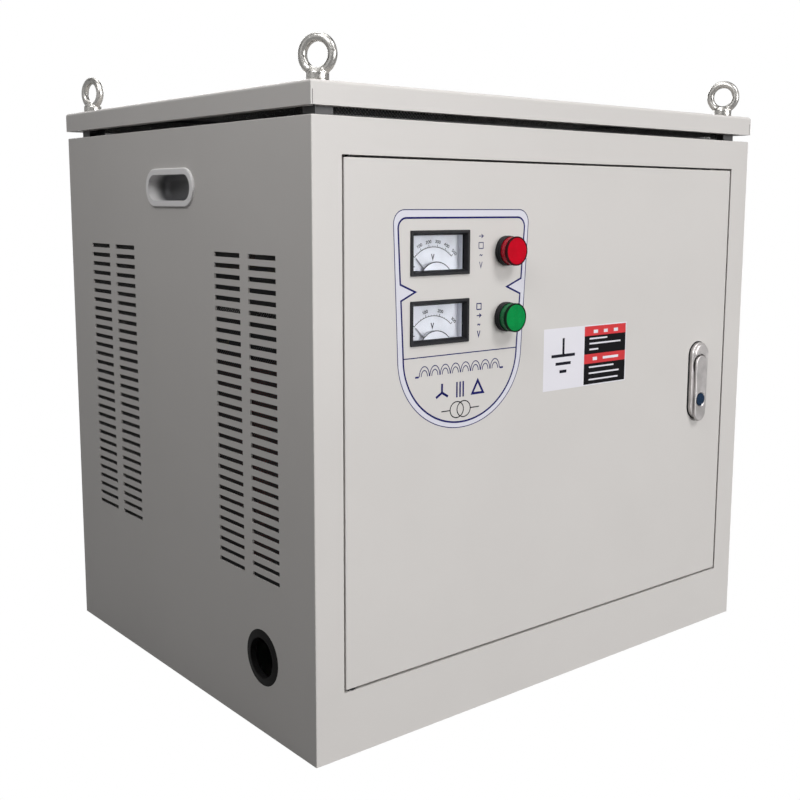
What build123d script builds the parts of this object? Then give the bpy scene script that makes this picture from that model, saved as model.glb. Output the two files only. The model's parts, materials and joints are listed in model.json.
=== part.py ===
from build123d import *

import os
from math import cos, radians, sin

# Dry type transformer in a louvred sheet steel cabinet, modelled in millimetres.
# The frame has +Z up, +X to the right of the door and -Y out of the door's face.
# The origin is the centre of the cabinet's footprint, on the surface it stands on.

# Cabinet
cabinet_width = 600.0
cabinet_depth = 486.0
body_height = 557.0
sheet = 1.5
base_sheet = 2.0
tray_flange = 25.0
post_face = 30.0
top_rail_face = 31.0
bottom_rail_face = 60.0
return_depth = 22.0
post_lap = 20.0
stop_lip = 12.0
rear_leg = 25.0
ring_sheet = 2.0
ring_width = 45.0
corner_radius = 1.0
rim_radius = 0.9

# Side walls
slot_length = 45.0
slot_height = 4.4
slot_spacing = 10.0
slot_rows = 30
slot_bottom = 149.5
column_inner = 105.5
column_spacing = 59.5
screen_sheet = 1.0
screen_border = 8.0
handle_drop = 56.5
cable_hole_height = 72.5
cable_hole_from_front = 86.5

# Side handles, moulded cups
handle_length = 97.0
handle_width = 37.0
handle_proud = 2.2
handle_lip = 6.0
handle_wall = 2.0
handle_cup_depth = 22.0
handle_cup_radius = 6.0

# Cable grommet
grommet_radius = 26.5
grommet_proud = 1.2
grommet_neck_radius = 22.5
grommet_bore_radius = 19.0
grommet_back = 5.0
panel_fit = 0.1

# Lid
lid_gap = 7.5
lid_height = 20.0
lid_fold_radius = 3.0
lid_overhang = 1.0
lid_lip = 10.0
lid_lip_relief = 1.0
lid_post = 18.0
lid_post_inset = 12.5
vent_screen_inset = 21.0
vent_screen_sheet = 1.5

# Eyebolts
eye_section_radius = 4.0
eye_inner_radius = 10.0
eye_collar_radius = 9.6
eye_collar_height = 6.2
eye_neck_height = 3.6
eye_neck_radius = 6.5
eye_shank_radius = 4.0
eye_shank_length = 22.0
eye_ring_rise = 20.8
eye_washer_radius = 10.0
eye_washer_height = 1.6
eye_shank_fit = 0.3
eye_turn_angles = (63.0, 67.0, 79.0, 72.0)

# Door
door_gap = 2.0
door_flange = 18.0
door_edge_radius = 1.0
hinge_inset = 8.0
hinge_setback = 5.0
hinge_pin_radius = 2.5
hinge_fit = 0.05
hinge_head_radius = 3.2
hinge_head_height = 3.0
hinge_shoulder_radius = 4.5
hinge_shoulder_play = 0.2
hinge_plate_sheet = 2.0
hinge_plate_width = 16.0
hinge_pin_reach = 6.0
buffer_width = 10.0
buffer_play = 0.3

# Panel instruments, two rows of a meter and a lamp
meter_inset = 105.5
lamp_inset = 187.0
row_drop = 81.0
row_spacing = 62.0
bezel_width = 69.0
bezel_height = 40.0
bezel_proud = 1.5
bezel_lip = 2.5
bezel_bevel = 2.0
bezel_rim = 2.0
window_setback = 2.5
window_thickness = 1.5
meter_case_width = 67.0
meter_case_height = 58.0
meter_case_depth = 38.0
meter_case_rise = 3.0
meter_case_wall = 1.5
dial_setback = 7.4
dial_wall = 1.0
dial_slot = 3.0
needle_drop = 11.0
needle_length = 30.0
needle_width = 0.9
needle_sheet = 0.6
needle_zero_angle = 44.0
needle_hub_radius = 3.0
needle_hub_height = 1.6
needle_tail = 7.0
needle_fit = 0.05
needle_play = 0.3
arbor_radius = 0.8
movement_radius = 11.0
movement_depth = 14.0
meter_stud_radius = 2.0
meter_stud_length = 10.0
meter_stud_spacing = 30.0
lamp_bezel_radius = 14.0
lamp_bezel_proud = 4.5
lamp_body_radius = 11.0
lamp_body_depth = 32.0
lamp_lens_radius = 13.2
lamp_lens_proud = 14.7
lamp_lens_wall = 1.4
lamp_lens_edge = 2.0
lamp_nose_radius = 9.0
lamp_nose_height = 4.0
lamp_nut_radius = 15.0
lamp_nut_height = 5.0

# Door lock: a body, a rotor with its cam, a lifting handle and a push button
lock_inset = 48.0
lock_drop = 2.0
lock_width = 29.0
lock_height = 86.0
lock_proud = 4.6
lock_edge = 1.2
lock_dome = 2.6
lock_dome_edge = 2.2
lock_dome_inset = 1.6
lock_boss_radius = 10.0
lock_boss_depth = 16.0
lock_nut_radius = 15.0
lock_nut_height = 5.0
spindle_drop = 25.5
spindle_radius = 6.0
spindle_fit = 0.05
pocket_radius = 12.4
pocket_floor = 1.0
rotor_play = 0.1
rotor_disc_height = 1.5
rotor_disc_play = 0.4
pivot_rise = 8.0
pivot_height = 3.0
pivot_pin_radius = 0.9
pivot_boss_radius = 1.75
pivot_lug_width = 6.0
pivot_lug_play = 0.2
pivot_ear_width = 3.0
handle_play = 0.3
handle_sheet = 2.3
lever_width = 19.6
lever_rise = 11.0
lever_length = 74.5
lever_edge = 1.4
button_radius = 6.8
button_fit = 0.12
button_drop = 39.0
button_chamfer = 1.3
button_height = 1.5
button_above = 0.2
button_pocket_depth = 2.0
square_size = 7.0
square_fit = 0.1
cam_sheet = 3.0
cam_width = 16.0
cam_corner = 3.0
cam_setback = 23.5
cam_play = 1.0
cam_screw_radius = 6.5
cam_screw_height = 3.5

# Core and coils
rail_height = 40.0
rail_width = 40.0
rail_length = 300.0
rail_spread = 150.0
rail_sheet = 4.0
core_clear = 4.0
limb_width = 80.0
limb_spacing = 172.0
yoke_height = 80.0
window_height = 210.0
stack_depth = 90.0
clamp_height = 72.0
clamp_web = 4.0
clamp_flange = 28.0
clamp_length = 480.0
bolt_radius = 5.0
bolt_fit = 1.0
bolt_head_radius = 9.0
bolt_head_height = 6.0
bolt_end_gap = 14.0
coil_clear = 2.0
lv_build = 14.0
duct = 8.0
hv_build = 18.0
hv_former = 4.0
hv_discs = 6
disc_gap = 5.0
coil_end_gap = 8.0
coil_corner = 12.0
spacer_width = 12.0
spacer_spread = 22.0
board_width = 40.0
board_height = 10.0
board_length = 440.0
strap_width = 22.0
strap_sheet = 3.0
strap_drop = 115.0
strap_reach = 34.0
stud_radius = 4.0
stud_height = 30.0
stud_nut_radius = 7.5
stud_nut_height = 6.5
stud_setback = 20.0

# Places worked out from the sizes above
half_width = cabinet_width / 2
half_depth = cabinet_depth / 2
opening_half = half_width - post_face
opening_top = body_height - top_rail_face
opening_bottom = bottom_rail_face
door_half = opening_half - door_gap
door_top = opening_top - door_gap
door_bottom = opening_bottom + door_gap
door_middle = (door_top + door_bottom) / 2
hinge_x = -door_half + hinge_inset
handle_height = body_height - handle_drop
meter_x = -door_half + meter_inset
lamp_x = -door_half + lamp_inset
row_upper = door_top - row_drop
row_lower = row_upper - row_spacing
lock_x = door_half - lock_inset
lock_z = door_middle - lock_drop
hinge_y = -half_depth + hinge_setback
lid_bottom = body_height + lid_gap
lid_top = lid_bottom + lid_height
lid_underside = lid_top - sheet
lid_post_centre = lid_post_inset + lid_post / 2
slot_middle = slot_bottom + (slot_rows - 1) * slot_spacing / 2
column_middle = column_inner + column_spacing / 2
glass_width = bezel_width - 2 * (bezel_lip + bezel_bevel)
glass_height = bezel_height - 2 * (bezel_lip + bezel_bevel)
spindle_z = lock_z + lock_height / 2 - spindle_drop
pivot_z = spindle_z + pivot_rise
lever_underside = lock_proud + handle_play
lever_front = lever_underside + handle_sheet
lever_middle = spindle_z + lever_rise - lever_length / 2
button_z = spindle_z - button_drop
rail_top = base_sheet + rail_height
core_bottom = rail_top + core_clear
core_height = 2 * yoke_height + window_height
core_top = core_bottom + core_height
core_length = 2 * limb_spacing + limb_width
coil_bottom = core_bottom + yoke_height + coil_end_gap
coil_height = window_height - 2 * coil_end_gap
lv_inner_x = limb_width / 2 + coil_clear
lv_inner_y = stack_depth / 2 + coil_clear
coil_half_depth = lv_inner_y + lv_build + duct + hv_build
lower_clamp_bottom = core_bottom - core_clear
upper_clamp_top = core_top - core_clear
upper_clamp_bottom = upper_clamp_top - clamp_height

front = Plane.XZ.offset(half_depth)
door_rows = (("upper", row_upper), ("lower", row_lower))


def side_plane(side):
    """Outer face of a side wall, with its normal out of the cabinet."""
    return Plane(origin=(side * half_width, 0, 0), x_dir=(0, side, 0), z_dir=(side, 0, 0))


def save(piece, name):
    """Label a finished piece and write it as a STEP file."""
    piece.part.label = name
    export_step(piece.part, f"parts/{name}.step")


def base_tray():
    """Floor sheet with its two sides folded up inside the side walls."""
    flange_length = cabinet_depth - 2 * (2 * sheet + max(post_lap, rear_leg))
    with BuildPart() as tray:
        with BuildSketch():
            Rectangle(cabinet_width - 2 * sheet, cabinet_depth - 2 * sheet)
        extrude(amount=base_sheet)
        with BuildSketch(Plane.XY.offset(base_sheet)):
            with GridLocations(cabinet_width - 2 * sheet - base_sheet, 0, 2, 1):
                Rectangle(base_sheet, flange_length)
        extrude(amount=tray_flange - base_sheet)
    return tray


def side_wall(side):
    """Flat side wall with its ventilation slots, handle cut-out and cable hole."""
    outer = side_plane(side)
    wall_depth = cabinet_depth - 2 * sheet
    with BuildPart() as wall:
        with BuildSketch(outer):
            with Locations((0, body_height / 2)):
                Rectangle(wall_depth, body_height)
        extrude(amount=-sheet)
        fillet(wall.edges().group_by(Axis.Z)[-1].sort_by(Axis.X)[-1 if side > 0 else 0], rim_radius)
        with BuildSketch(outer):
            for pair in (-1, 1):
                with Locations((pair * column_middle, slot_middle)):
                    with GridLocations(column_spacing, slot_spacing, 2, slot_rows):
                        Rectangle(slot_length, slot_height)
        extrude(amount=-sheet, mode=Mode.SUBTRACT)
        with BuildSketch(outer):
            with Locations((0, handle_height)):
                RectangleRounded(
                    handle_length - 2 * handle_lip + 2 * handle_wall + 2 * panel_fit,
                    handle_width - 2 * handle_lip + 2 * handle_wall + 2 * panel_fit,
                    handle_width / 2 - handle_lip,
                )
        extrude(amount=-sheet, mode=Mode.SUBTRACT)
        if side < 0:
            with BuildSketch(outer):
                with Locations((half_depth - cable_hole_from_front, cable_hole_height)):
                    Circle(grommet_neck_radius + panel_fit)
            extrude(amount=-sheet, mode=Mode.SUBTRACT)
    return wall


def louvre_screens(side):
    """Two mesh sheets that back the slots of one side wall."""
    inner = side_plane(side).offset(-sheet)
    with BuildPart() as screens:
        with BuildSketch(inner):
            for pair in (-1, 1):
                with Locations((pair * column_middle, slot_middle)):
                    Rectangle(
                        column_spacing + slot_length + 2 * screen_border,
                        (slot_rows - 1) * slot_spacing + slot_height + 2 * screen_border,
                    )
        extrude(amount=-screen_sheet)
    return screens


def front_post(side):
    """Folded front post: its face, a leg inside the side wall and a return round the door."""
    leg_height = body_height - ring_sheet - base_sheet
    with BuildPart() as post:
        with BuildSketch(front):
            with Locations((side * (half_width - post_face / 2), body_height / 2)):
                Rectangle(post_face, body_height)
        extrude(amount=-sheet)
        outer_edge = post.edges().filter_by(Axis.Z).group_by(Axis.X)[-1 if side > 0 else 0]
        fillet(outer_edge.sort_by(Axis.Y)[0], corner_radius)
        fillet(post.edges().group_by(Axis.Z)[-1].sort_by(Axis.Y)[0], rim_radius)
        with BuildSketch(Plane.XY.offset(base_sheet)):
            with Locations((side * (half_width - 1.5 * sheet), -half_depth + sheet + post_lap / 2)):
                Rectangle(sheet, post_lap)
            with Locations((side * (opening_half + sheet / 2), -half_depth + return_depth / 2)):
                Rectangle(sheet, return_depth)
        extrude(amount=leg_height)
        if side > 0:
            with BuildSketch(Plane.XY.offset(opening_bottom)):
                with Locations((opening_half - stop_lip / 2, -half_depth + return_depth - sheet / 2)):
                    Rectangle(stop_lip, sheet)
            extrude(amount=opening_top - opening_bottom)
    return post


def rear_posts():
    """Two angles that join the rear panel to the side walls."""
    with BuildPart() as posts:
        with BuildSketch(Plane.XY.offset(base_sheet)):
            for side in (-1, 1):
                with Locations((side * (half_width - 1.5 * sheet), half_depth - sheet - rear_leg / 2)):
                    Rectangle(sheet, rear_leg)
                with Locations((side * (half_width - sheet - rear_leg / 2), half_depth - 1.5 * sheet)):
                    Rectangle(rear_leg, sheet)
        extrude(amount=body_height - ring_sheet - base_sheet)
    return posts


def rear_panel():
    """Flat rear panel, as wide and as high as the body."""
    with BuildPart() as panel:
        with BuildSketch(Plane.XZ.offset(-half_depth)):
            with Locations((0, body_height / 2)):
                Rectangle(cabinet_width, body_height)
        extrude(amount=sheet)
        fillet(panel.edges().filter_by(Axis.Z).group_by(Axis.Y)[-1], corner_radius)
        fillet(panel.edges().group_by(Axis.Z)[-1].sort_by(Axis.Y)[-1], rim_radius)
    return panel


def front_rail(top):
    """Rail above or below the door, folded back at the door and, at the foot, onto the tray."""
    face = top_rail_face if top else bottom_rail_face
    middle = body_height - face / 2 if top else face / 2
    fold = opening_top + sheet / 2 if top else opening_bottom - sheet / 2
    with BuildPart() as rail:
        with BuildSketch(front):
            with Locations((0, middle)):
                Rectangle(2 * opening_half, face)
        extrude(amount=-sheet)
        if top:
            fillet(rail.edges().group_by(Axis.Z)[-1].sort_by(Axis.Y)[0], rim_radius)
        with BuildSketch(front.offset(-sheet)):
            with Locations((0, fold)):
                Rectangle(2 * opening_half, sheet)
            if not top:
                with Locations((0, base_sheet + sheet / 2)):
                    Rectangle(2 * opening_half, sheet)
        extrude(amount=-(return_depth - sheet))
        with BuildSketch(Plane.XY.offset(fold - sheet / 2)):
            with Locations((hinge_x, hinge_y)):
                Circle(hinge_pin_radius)
        extrude(amount=sheet, mode=Mode.SUBTRACT)
    return rail


def top_ring():
    """Flat ring that closes the top of the body round the air outlet."""
    with BuildPart() as ring:
        with BuildSketch(Plane.XY.offset(body_height - ring_sheet)):
            Rectangle(cabinet_width - 2 * sheet, cabinet_depth - 2 * sheet)
            Rectangle(cabinet_width - 2 * ring_width, cabinet_depth - 2 * ring_width, mode=Mode.SUBTRACT)
        extrude(amount=ring_sheet)
    return ring


def lid_posts():
    """Four tapped blocks that carry the lid above the body."""
    with BuildPart() as posts:
        with BuildSketch(Plane.XY.offset(body_height)):
            with GridLocations(cabinet_width - 2 * lid_post_centre, cabinet_depth - 2 * lid_post_centre, 2, 2):
                Rectangle(lid_post, lid_post)
                Circle(eye_shank_radius, mode=Mode.SUBTRACT)
        extrude(amount=lid_underside - body_height)
    return posts


def vent_screens():
    """Four mesh strips that stand between the lid posts."""
    long_strip = cabinet_width - 2 * (lid_post_inset + lid_post)
    short_strip = cabinet_depth - 2 * (lid_post_inset + lid_post)
    with BuildPart() as screens:
        with BuildSketch(Plane.XY.offset(body_height)):
            with GridLocations(0, cabinet_depth - 2 * vent_screen_inset, 1, 2):
                Rectangle(long_strip, vent_screen_sheet)
            with GridLocations(cabinet_width - 2 * vent_screen_inset, 0, 2, 1):
                Rectangle(vent_screen_sheet, short_strip)
        extrude(amount=lid_underside - body_height)
    return screens


def lid():
    """Folded lid: a flat top, a skirt and a narrow lip turned in under it."""
    width = cabinet_width + 2 * lid_overhang
    depth = cabinet_depth + 2 * lid_overhang
    lip_cut = lid_lip + lid_lip_relief
    with BuildPart() as pan:
        with BuildSketch(Plane.XY.offset(lid_bottom)):
            Rectangle(width, depth)
        extrude(amount=lid_height)
        fillet(pan.edges().group_by(Axis.Z)[-1], lid_fold_radius)
        with BuildPart(mode=Mode.PRIVATE) as inside:
            with BuildSketch(Plane.XY.offset(lid_bottom + sheet)):
                Rectangle(width - 2 * sheet, depth - 2 * sheet)
            extrude(amount=lid_height - 2 * sheet)
            fillet(inside.edges().group_by(Axis.Z)[-1], lid_fold_radius - sheet)
        add(inside.part, mode=Mode.SUBTRACT)
        with BuildSketch(Plane.XY.offset(lid_bottom)):
            Rectangle(width - 2 * lid_lip, depth - 2 * lid_lip)
            with GridLocations(width - sheet - lip_cut, depth - sheet - lip_cut, 2, 2):
                Rectangle(lip_cut - sheet, lip_cut - sheet)
        extrude(amount=sheet, mode=Mode.SUBTRACT)
        with BuildSketch(Plane.XY.offset(lid_underside)):
            with GridLocations(cabinet_width - 2 * lid_post_centre, cabinet_depth - 2 * lid_post_centre, 2, 2):
                Circle(eye_shank_radius + eye_shank_fit)
        extrude(amount=sheet, mode=Mode.SUBTRACT)
    return pan


def eyebolt_places():
    """Plan positions of the four eyebolts, front pair first, each with its turn."""
    x = half_width - lid_post_centre
    y = half_depth - lid_post_centre
    return zip(((-x, -y), (x, -y), (-x, y), (x, y)), eye_turn_angles)


def eyebolts():
    """Four forged eyebolts, each with a collar, a short neck and a shank in its post."""
    seat = lid_top + eye_washer_height
    ring_radius = eye_inner_radius + eye_section_radius
    with BuildPart() as bolts:
        for (x, y), turn in eyebolt_places():
            axis = (sin(radians(turn)), cos(radians(turn)), 0)
            with Locations((x, y, seat - eye_shank_length / 2)):
                Cylinder(eye_shank_radius, eye_shank_length)
            with Locations((x, y, seat + eye_collar_height / 2)):
                Cylinder(eye_collar_radius, eye_collar_height)
            with Locations((x, y, seat + eye_collar_height + eye_neck_height / 2)):
                Cone(eye_collar_radius, eye_neck_radius, eye_neck_height)
            with Locations(Plane(origin=(x, y, seat + eye_ring_rise), x_dir=(0, 0, 1), z_dir=axis)):
                Torus(ring_radius, eye_section_radius)
                Cylinder(eye_inner_radius, 2 * eye_section_radius, mode=Mode.SUBTRACT)
    return bolts


def eyebolt_washers():
    """Four plain washers under the eyebolts' collars."""
    with BuildPart() as washers:
        with BuildSketch(Plane.XY.offset(lid_top)):
            for (x, y), turn in eyebolt_places():
                with Locations((x, y)):
                    Circle(eye_washer_radius)
                    Circle(eye_shank_radius + eye_shank_fit, mode=Mode.SUBTRACT)
        extrude(amount=eye_washer_height)
    return washers


def side_handle(side):
    """Moulded handle cup: a rounded lip on the wall and a pocket for the fingers."""
    outer = side_plane(side)
    mouth_length = handle_length - 2 * handle_lip
    mouth_width = handle_width - 2 * handle_lip
    mouth_radius = handle_width / 2 - handle_lip - panel_fit
    with BuildPart() as cup:
        with BuildSketch(outer):
            with Locations((0, handle_height)):
                RectangleRounded(handle_length, handle_width, handle_width / 2 - panel_fit)
        extrude(amount=handle_proud)
        rim = cup.faces().filter_by(Axis.X).group_by(SortBy.AREA)[-1]
        front_face = rim.sort_by(Axis.X)[-1 if side > 0 else 0]
        fillet(front_face.edges(), handle_proud / 2)
        with BuildSketch(outer):
            with Locations((0, handle_height)):
                RectangleRounded(
                    mouth_length + 2 * handle_wall,
                    mouth_width + 2 * handle_wall,
                    mouth_radius,
                )
        extrude(amount=-handle_cup_depth)
        with BuildSketch(outer.offset(handle_proud)):
            with Locations((0, handle_height)):
                RectangleRounded(mouth_length, mouth_width, mouth_radius)
        extrude(amount=-(handle_proud + handle_cup_depth - handle_wall), mode=Mode.SUBTRACT)
        floor = cup.faces().filter_by(Axis.X).sort_by(Axis.X)[1 if side > 0 else -2]
        fillet(floor.edges(), handle_cup_radius)
    return cup


def cable_grommet():
    """Round bush that snaps into the cable hole, one flange each side of the wall."""
    middle = (-half_width, -half_depth + cable_hole_from_front, cable_hole_height)
    with BuildPart() as bush:
        with BuildSketch(Plane(origin=middle, x_dir=(0, 0, 1), z_dir=(0, -1, 0))):
            with BuildLine():
                Polyline(
                    (grommet_bore_radius, -grommet_back),
                    (grommet_radius, -grommet_back),
                    (grommet_radius, -sheet),
                    (grommet_neck_radius, -sheet),
                    (grommet_neck_radius, 0),
                    (grommet_radius, 0),
                    (grommet_bore_radius + grommet_proud, grommet_proud),
                    (grommet_bore_radius, grommet_proud),
                    close=True,
                )
            make_face()
        revolve(axis=Axis(middle, (1, 0, 0)))
    return bush


def hinge_pins():
    """Upper and lower hinge pins, with a head in the rail and the lower one with a shoulder."""
    with BuildPart() as pins:
        with BuildSketch(Plane.XY.offset(door_top - hinge_pin_reach)):
            with Locations((hinge_x, hinge_y)):
                Circle(hinge_pin_radius)
        extrude(amount=hinge_pin_reach + door_gap + sheet)
        with BuildSketch(Plane.XY.offset(opening_top + sheet)):
            with Locations((hinge_x, hinge_y)):
                Circle(hinge_head_radius)
        extrude(amount=hinge_head_height)
        with BuildSketch(Plane.XY.offset(opening_bottom - sheet)):
            with Locations((hinge_x, hinge_y)):
                Circle(hinge_pin_radius)
        extrude(amount=sheet + door_gap + hinge_pin_reach)
        with BuildSketch(Plane.XY.offset(opening_bottom)):
            with Locations((hinge_x, hinge_y)):
                Circle(hinge_shoulder_radius)
        extrude(amount=door_gap - hinge_shoulder_play)
    return pins


def door_buffer():
    """Foam strip on the stop lip that the closed door rests against."""
    depth = return_depth - sheet - door_flange - buffer_play
    with BuildPart() as strip:
        with BuildSketch(front.offset(-(return_depth - sheet))):
            with Locations((opening_half - buffer_width / 2, door_middle)):
                Rectangle(buffer_width, door_top - door_bottom)
        extrude(amount=depth)
    return strip


def door_panel():
    """Door sheet with its four edges folded back, cut out for the instruments and the lock."""
    height = door_top - door_bottom
    with BuildPart() as door:
        with BuildSketch(front):
            with Locations((0, door_middle)):
                Rectangle(2 * door_half, height)
        extrude(amount=-door_flange)
        fillet(door.edges().filter_by(Axis.Z).group_by(Axis.Y)[0], door_edge_radius)
        fillet(door.edges().filter_by(Axis.X).group_by(Axis.Y)[0], door_edge_radius)
        with BuildSketch(front.offset(-sheet)):
            with Locations((0, door_middle)):
                Rectangle(2 * (door_half - sheet), height - 2 * sheet)
        extrude(amount=-(door_flange - sheet), mode=Mode.SUBTRACT)
        with BuildSketch(front):
            for name, row in door_rows:
                with Locations((meter_x, row)):
                    Rectangle(
                        bezel_width - 2 * bezel_rim + 2 * panel_fit,
                        bezel_height - 2 * bezel_rim + 2 * panel_fit,
                    )
                with Locations((lamp_x, row)):
                    Circle(lamp_body_radius + panel_fit)
            with Locations((lock_x, spindle_z)):
                Circle(lock_boss_radius + panel_fit)
        extrude(amount=-sheet, mode=Mode.SUBTRACT)
        with BuildSketch(Plane.XY.offset(door_bottom)):
            with Locations((hinge_x, hinge_y)):
                Circle(hinge_pin_radius + hinge_fit)
        extrude(amount=height, mode=Mode.SUBTRACT)
    return door


def hinge_plates():
    """Two bored plates welded inside the door's upper and lower flanges."""
    depth = door_flange - sheet
    with BuildPart() as plates:
        for level in (door_top - sheet - hinge_plate_sheet, door_bottom + sheet):
            with BuildSketch(Plane.XY.offset(level)):
                with Locations((-door_half + sheet + hinge_plate_width / 2, -half_depth + sheet + depth / 2)):
                    Rectangle(hinge_plate_width, depth)
                with Locations((hinge_x, hinge_y)):
                    Circle(hinge_pin_radius + hinge_fit, mode=Mode.SUBTRACT)
            extrude(amount=hinge_plate_sheet)
    return plates


def meter_bezel(row):
    """Trim frame of one meter, bevelled down to the window."""
    rim_width = bezel_width - 2 * bezel_rim
    rim_height = bezel_height - 2 * bezel_rim
    with BuildPart() as bezel:
        with BuildSketch(front):
            with Locations((meter_x, row)):
                Rectangle(bezel_width, bezel_height)
        extrude(amount=bezel_proud)
        with BuildSketch(front):
            with Locations((meter_x, row)):
                Rectangle(rim_width, rim_height)
        extrude(amount=-sheet)
        with BuildSketch(front.offset(bezel_proud)):
            with Locations((meter_x, row)):
                Rectangle(bezel_width - 2 * bezel_lip, bezel_height - 2 * bezel_lip)
        with BuildSketch(front.offset(-sheet)):
            with Locations((meter_x, row)):
                Rectangle(glass_width, glass_height)
        loft(mode=Mode.SUBTRACT)
        fillet(bezel.edges().filter_by(Axis.Y).group_by(SortBy.LENGTH)[0], bezel_proud / 2)
    return bezel


def meter_case(row):
    """Rear housing of one meter, open behind its window."""
    case_top = row + glass_height / 2 + meter_case_rise
    middle = case_top - meter_case_height / 2
    with BuildPart() as case:
        with BuildSketch(front.offset(-sheet)):
            with Locations((meter_x, middle)):
                Rectangle(meter_case_width, meter_case_height)
        extrude(amount=-meter_case_depth)
        with BuildSketch(front.offset(-window_setback - window_thickness)):
            with Locations((meter_x, middle)):
                Rectangle(meter_case_width - 2 * meter_case_wall, meter_case_height - 2 * meter_case_wall)
        inner_depth = meter_case_depth + sheet - window_setback - window_thickness - meter_case_wall
        extrude(amount=-inner_depth, mode=Mode.SUBTRACT)
        with BuildSketch(front.offset(-sheet)):
            with Locations((meter_x, row)):
                Rectangle(glass_width, glass_height)
        extrude(amount=-(window_setback + window_thickness - sheet), mode=Mode.SUBTRACT)
    return case


def meter_terminals():
    """Two brass connection studs on the back of each meter."""
    stud_rise = glass_height / 2 + meter_case_rise - meter_case_height / 2
    with BuildPart() as studs:
        with BuildSketch(front.offset(-sheet - meter_case_depth)):
            for name, row in door_rows:
                with Locations((meter_x, row + stud_rise)):
                    with GridLocations(meter_stud_spacing, 0, 2, 1):
                        Circle(meter_stud_radius)
        extrude(amount=-meter_stud_length)
    return studs


def meter_window(row):
    """Clear window of one meter."""
    with BuildPart() as window:
        with BuildSketch(front.offset(-window_setback)):
            with Locations((meter_x, row)):
                Rectangle(glass_width, glass_height)
        extrude(amount=-window_thickness)
    return window


def meter_dial(row):
    """White dial plate with side walls up to the window, open below for the needle."""
    window_back = window_setback + window_thickness
    walls = dial_setback - window_thickness
    outer_width = glass_width + 2 * dial_wall
    outer_height = glass_height + 2 * dial_wall
    with BuildPart() as dial:
        with BuildSketch(front.offset(-window_back)):
            with Locations((meter_x, row)):
                Rectangle(outer_width, outer_height)
                Rectangle(glass_width, glass_height, mode=Mode.SUBTRACT)
        extrude(amount=-walls)
        with BuildSketch(front.offset(-window_back - walls)):
            with Locations((meter_x, row)):
                Rectangle(outer_width, outer_height)
        extrude(amount=-dial_wall)
        with BuildSketch(front.offset(-window_back - walls)):
            with Locations((meter_x, row - glass_height / 2 - dial_wall / 2)):
                Rectangle(glass_width, dial_wall)
        extrude(amount=dial_slot, mode=Mode.SUBTRACT)
    return dial


def meter_movement(row):
    """Moving-coil block of one meter, with the arbor that carries the needle."""
    pivot = row - glass_height / 2 - needle_drop
    case_back = sheet + meter_case_depth - meter_case_wall
    with BuildPart() as movement:
        with BuildSketch(front.offset(-case_back)):
            with Locations((meter_x, pivot)):
                Circle(movement_radius)
        extrude(amount=movement_depth)
        with BuildSketch(front.offset(-case_back + movement_depth)):
            with Locations((meter_x, pivot)):
                Circle(arbor_radius)
        extrude(amount=case_back - movement_depth - window_setback - window_thickness - needle_play)
    return movement


def meter_needle(row):
    """Needle of one meter at its zero mark, with its hub and a short tail."""
    pivot = row - glass_height / 2 - needle_drop
    needle_back = window_setback + dial_setback - needle_play - needle_sheet
    with BuildPart() as needle:
        with BuildSketch(front.offset(-needle_back - needle_play)):
            with Locations((meter_x, pivot)):
                Circle(needle_hub_radius)
        extrude(amount=needle_hub_height)
        with BuildSketch(front.offset(-needle_back)):
            with Locations((meter_x, pivot)):
                with Locations(Location((0, 0), needle_zero_angle + 90)):
                    with Locations(((needle_length - needle_tail) / 2, 0)):
                        Rectangle(needle_length + needle_tail, needle_width)
        extrude(amount=needle_sheet)
        with BuildSketch(front.offset(-needle_back - needle_play)):
            with Locations((meter_x, pivot)):
                Circle(arbor_radius + needle_fit)
        extrude(amount=needle_hub_height, mode=Mode.SUBTRACT)
    return needle


def lamp_body(row):
    """Black lamp body: a front ring, a neck through the door and a nose inside the lens."""
    with BuildPart() as body:
        with BuildSketch(front):
            with Locations((lamp_x, row)):
                Circle(lamp_bezel_radius)
        extrude(amount=lamp_bezel_proud)
        chamfer(body.edges().group_by(Axis.Y)[0], corner_radius)
        with BuildSketch(front):
            with Locations((lamp_x, row)):
                Circle(lamp_body_radius)
        extrude(amount=-lamp_body_depth)
        with BuildSketch(front.offset(lamp_bezel_proud)):
            with Locations((lamp_x, row)):
                Circle(lamp_nose_radius)
        extrude(amount=lamp_nose_height)
    return body


def lamp_lens(row):
    """Coloured lens cap of one lamp, hollow behind."""
    with BuildPart() as lens:
        with BuildSketch(front.offset(lamp_bezel_proud)):
            with Locations((lamp_x, row)):
                Circle(lamp_lens_radius)
        extrude(amount=lamp_lens_proud - lamp_bezel_proud)
        fillet(lens.edges().group_by(Axis.Y)[0], lamp_lens_edge)
        with BuildSketch(front.offset(lamp_bezel_proud)):
            with Locations((lamp_x, row)):
                Circle(lamp_lens_radius - lamp_lens_wall)
        extrude(amount=lamp_lens_proud - lamp_bezel_proud - lamp_lens_wall, mode=Mode.SUBTRACT)
    return lens


def lamp_nuts():
    """Two hexagon nuts that clamp the lamps behind the door."""
    with BuildPart() as nuts:
        with BuildSketch(front.offset(-sheet)):
            for name, row in door_rows:
                with Locations((lamp_x, row)):
                    RegularPolygon(lamp_nut_radius, 6)
                    Circle(lamp_body_radius, mode=Mode.SUBTRACT)
        extrude(amount=-lamp_nut_height)
    return nuts


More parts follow.
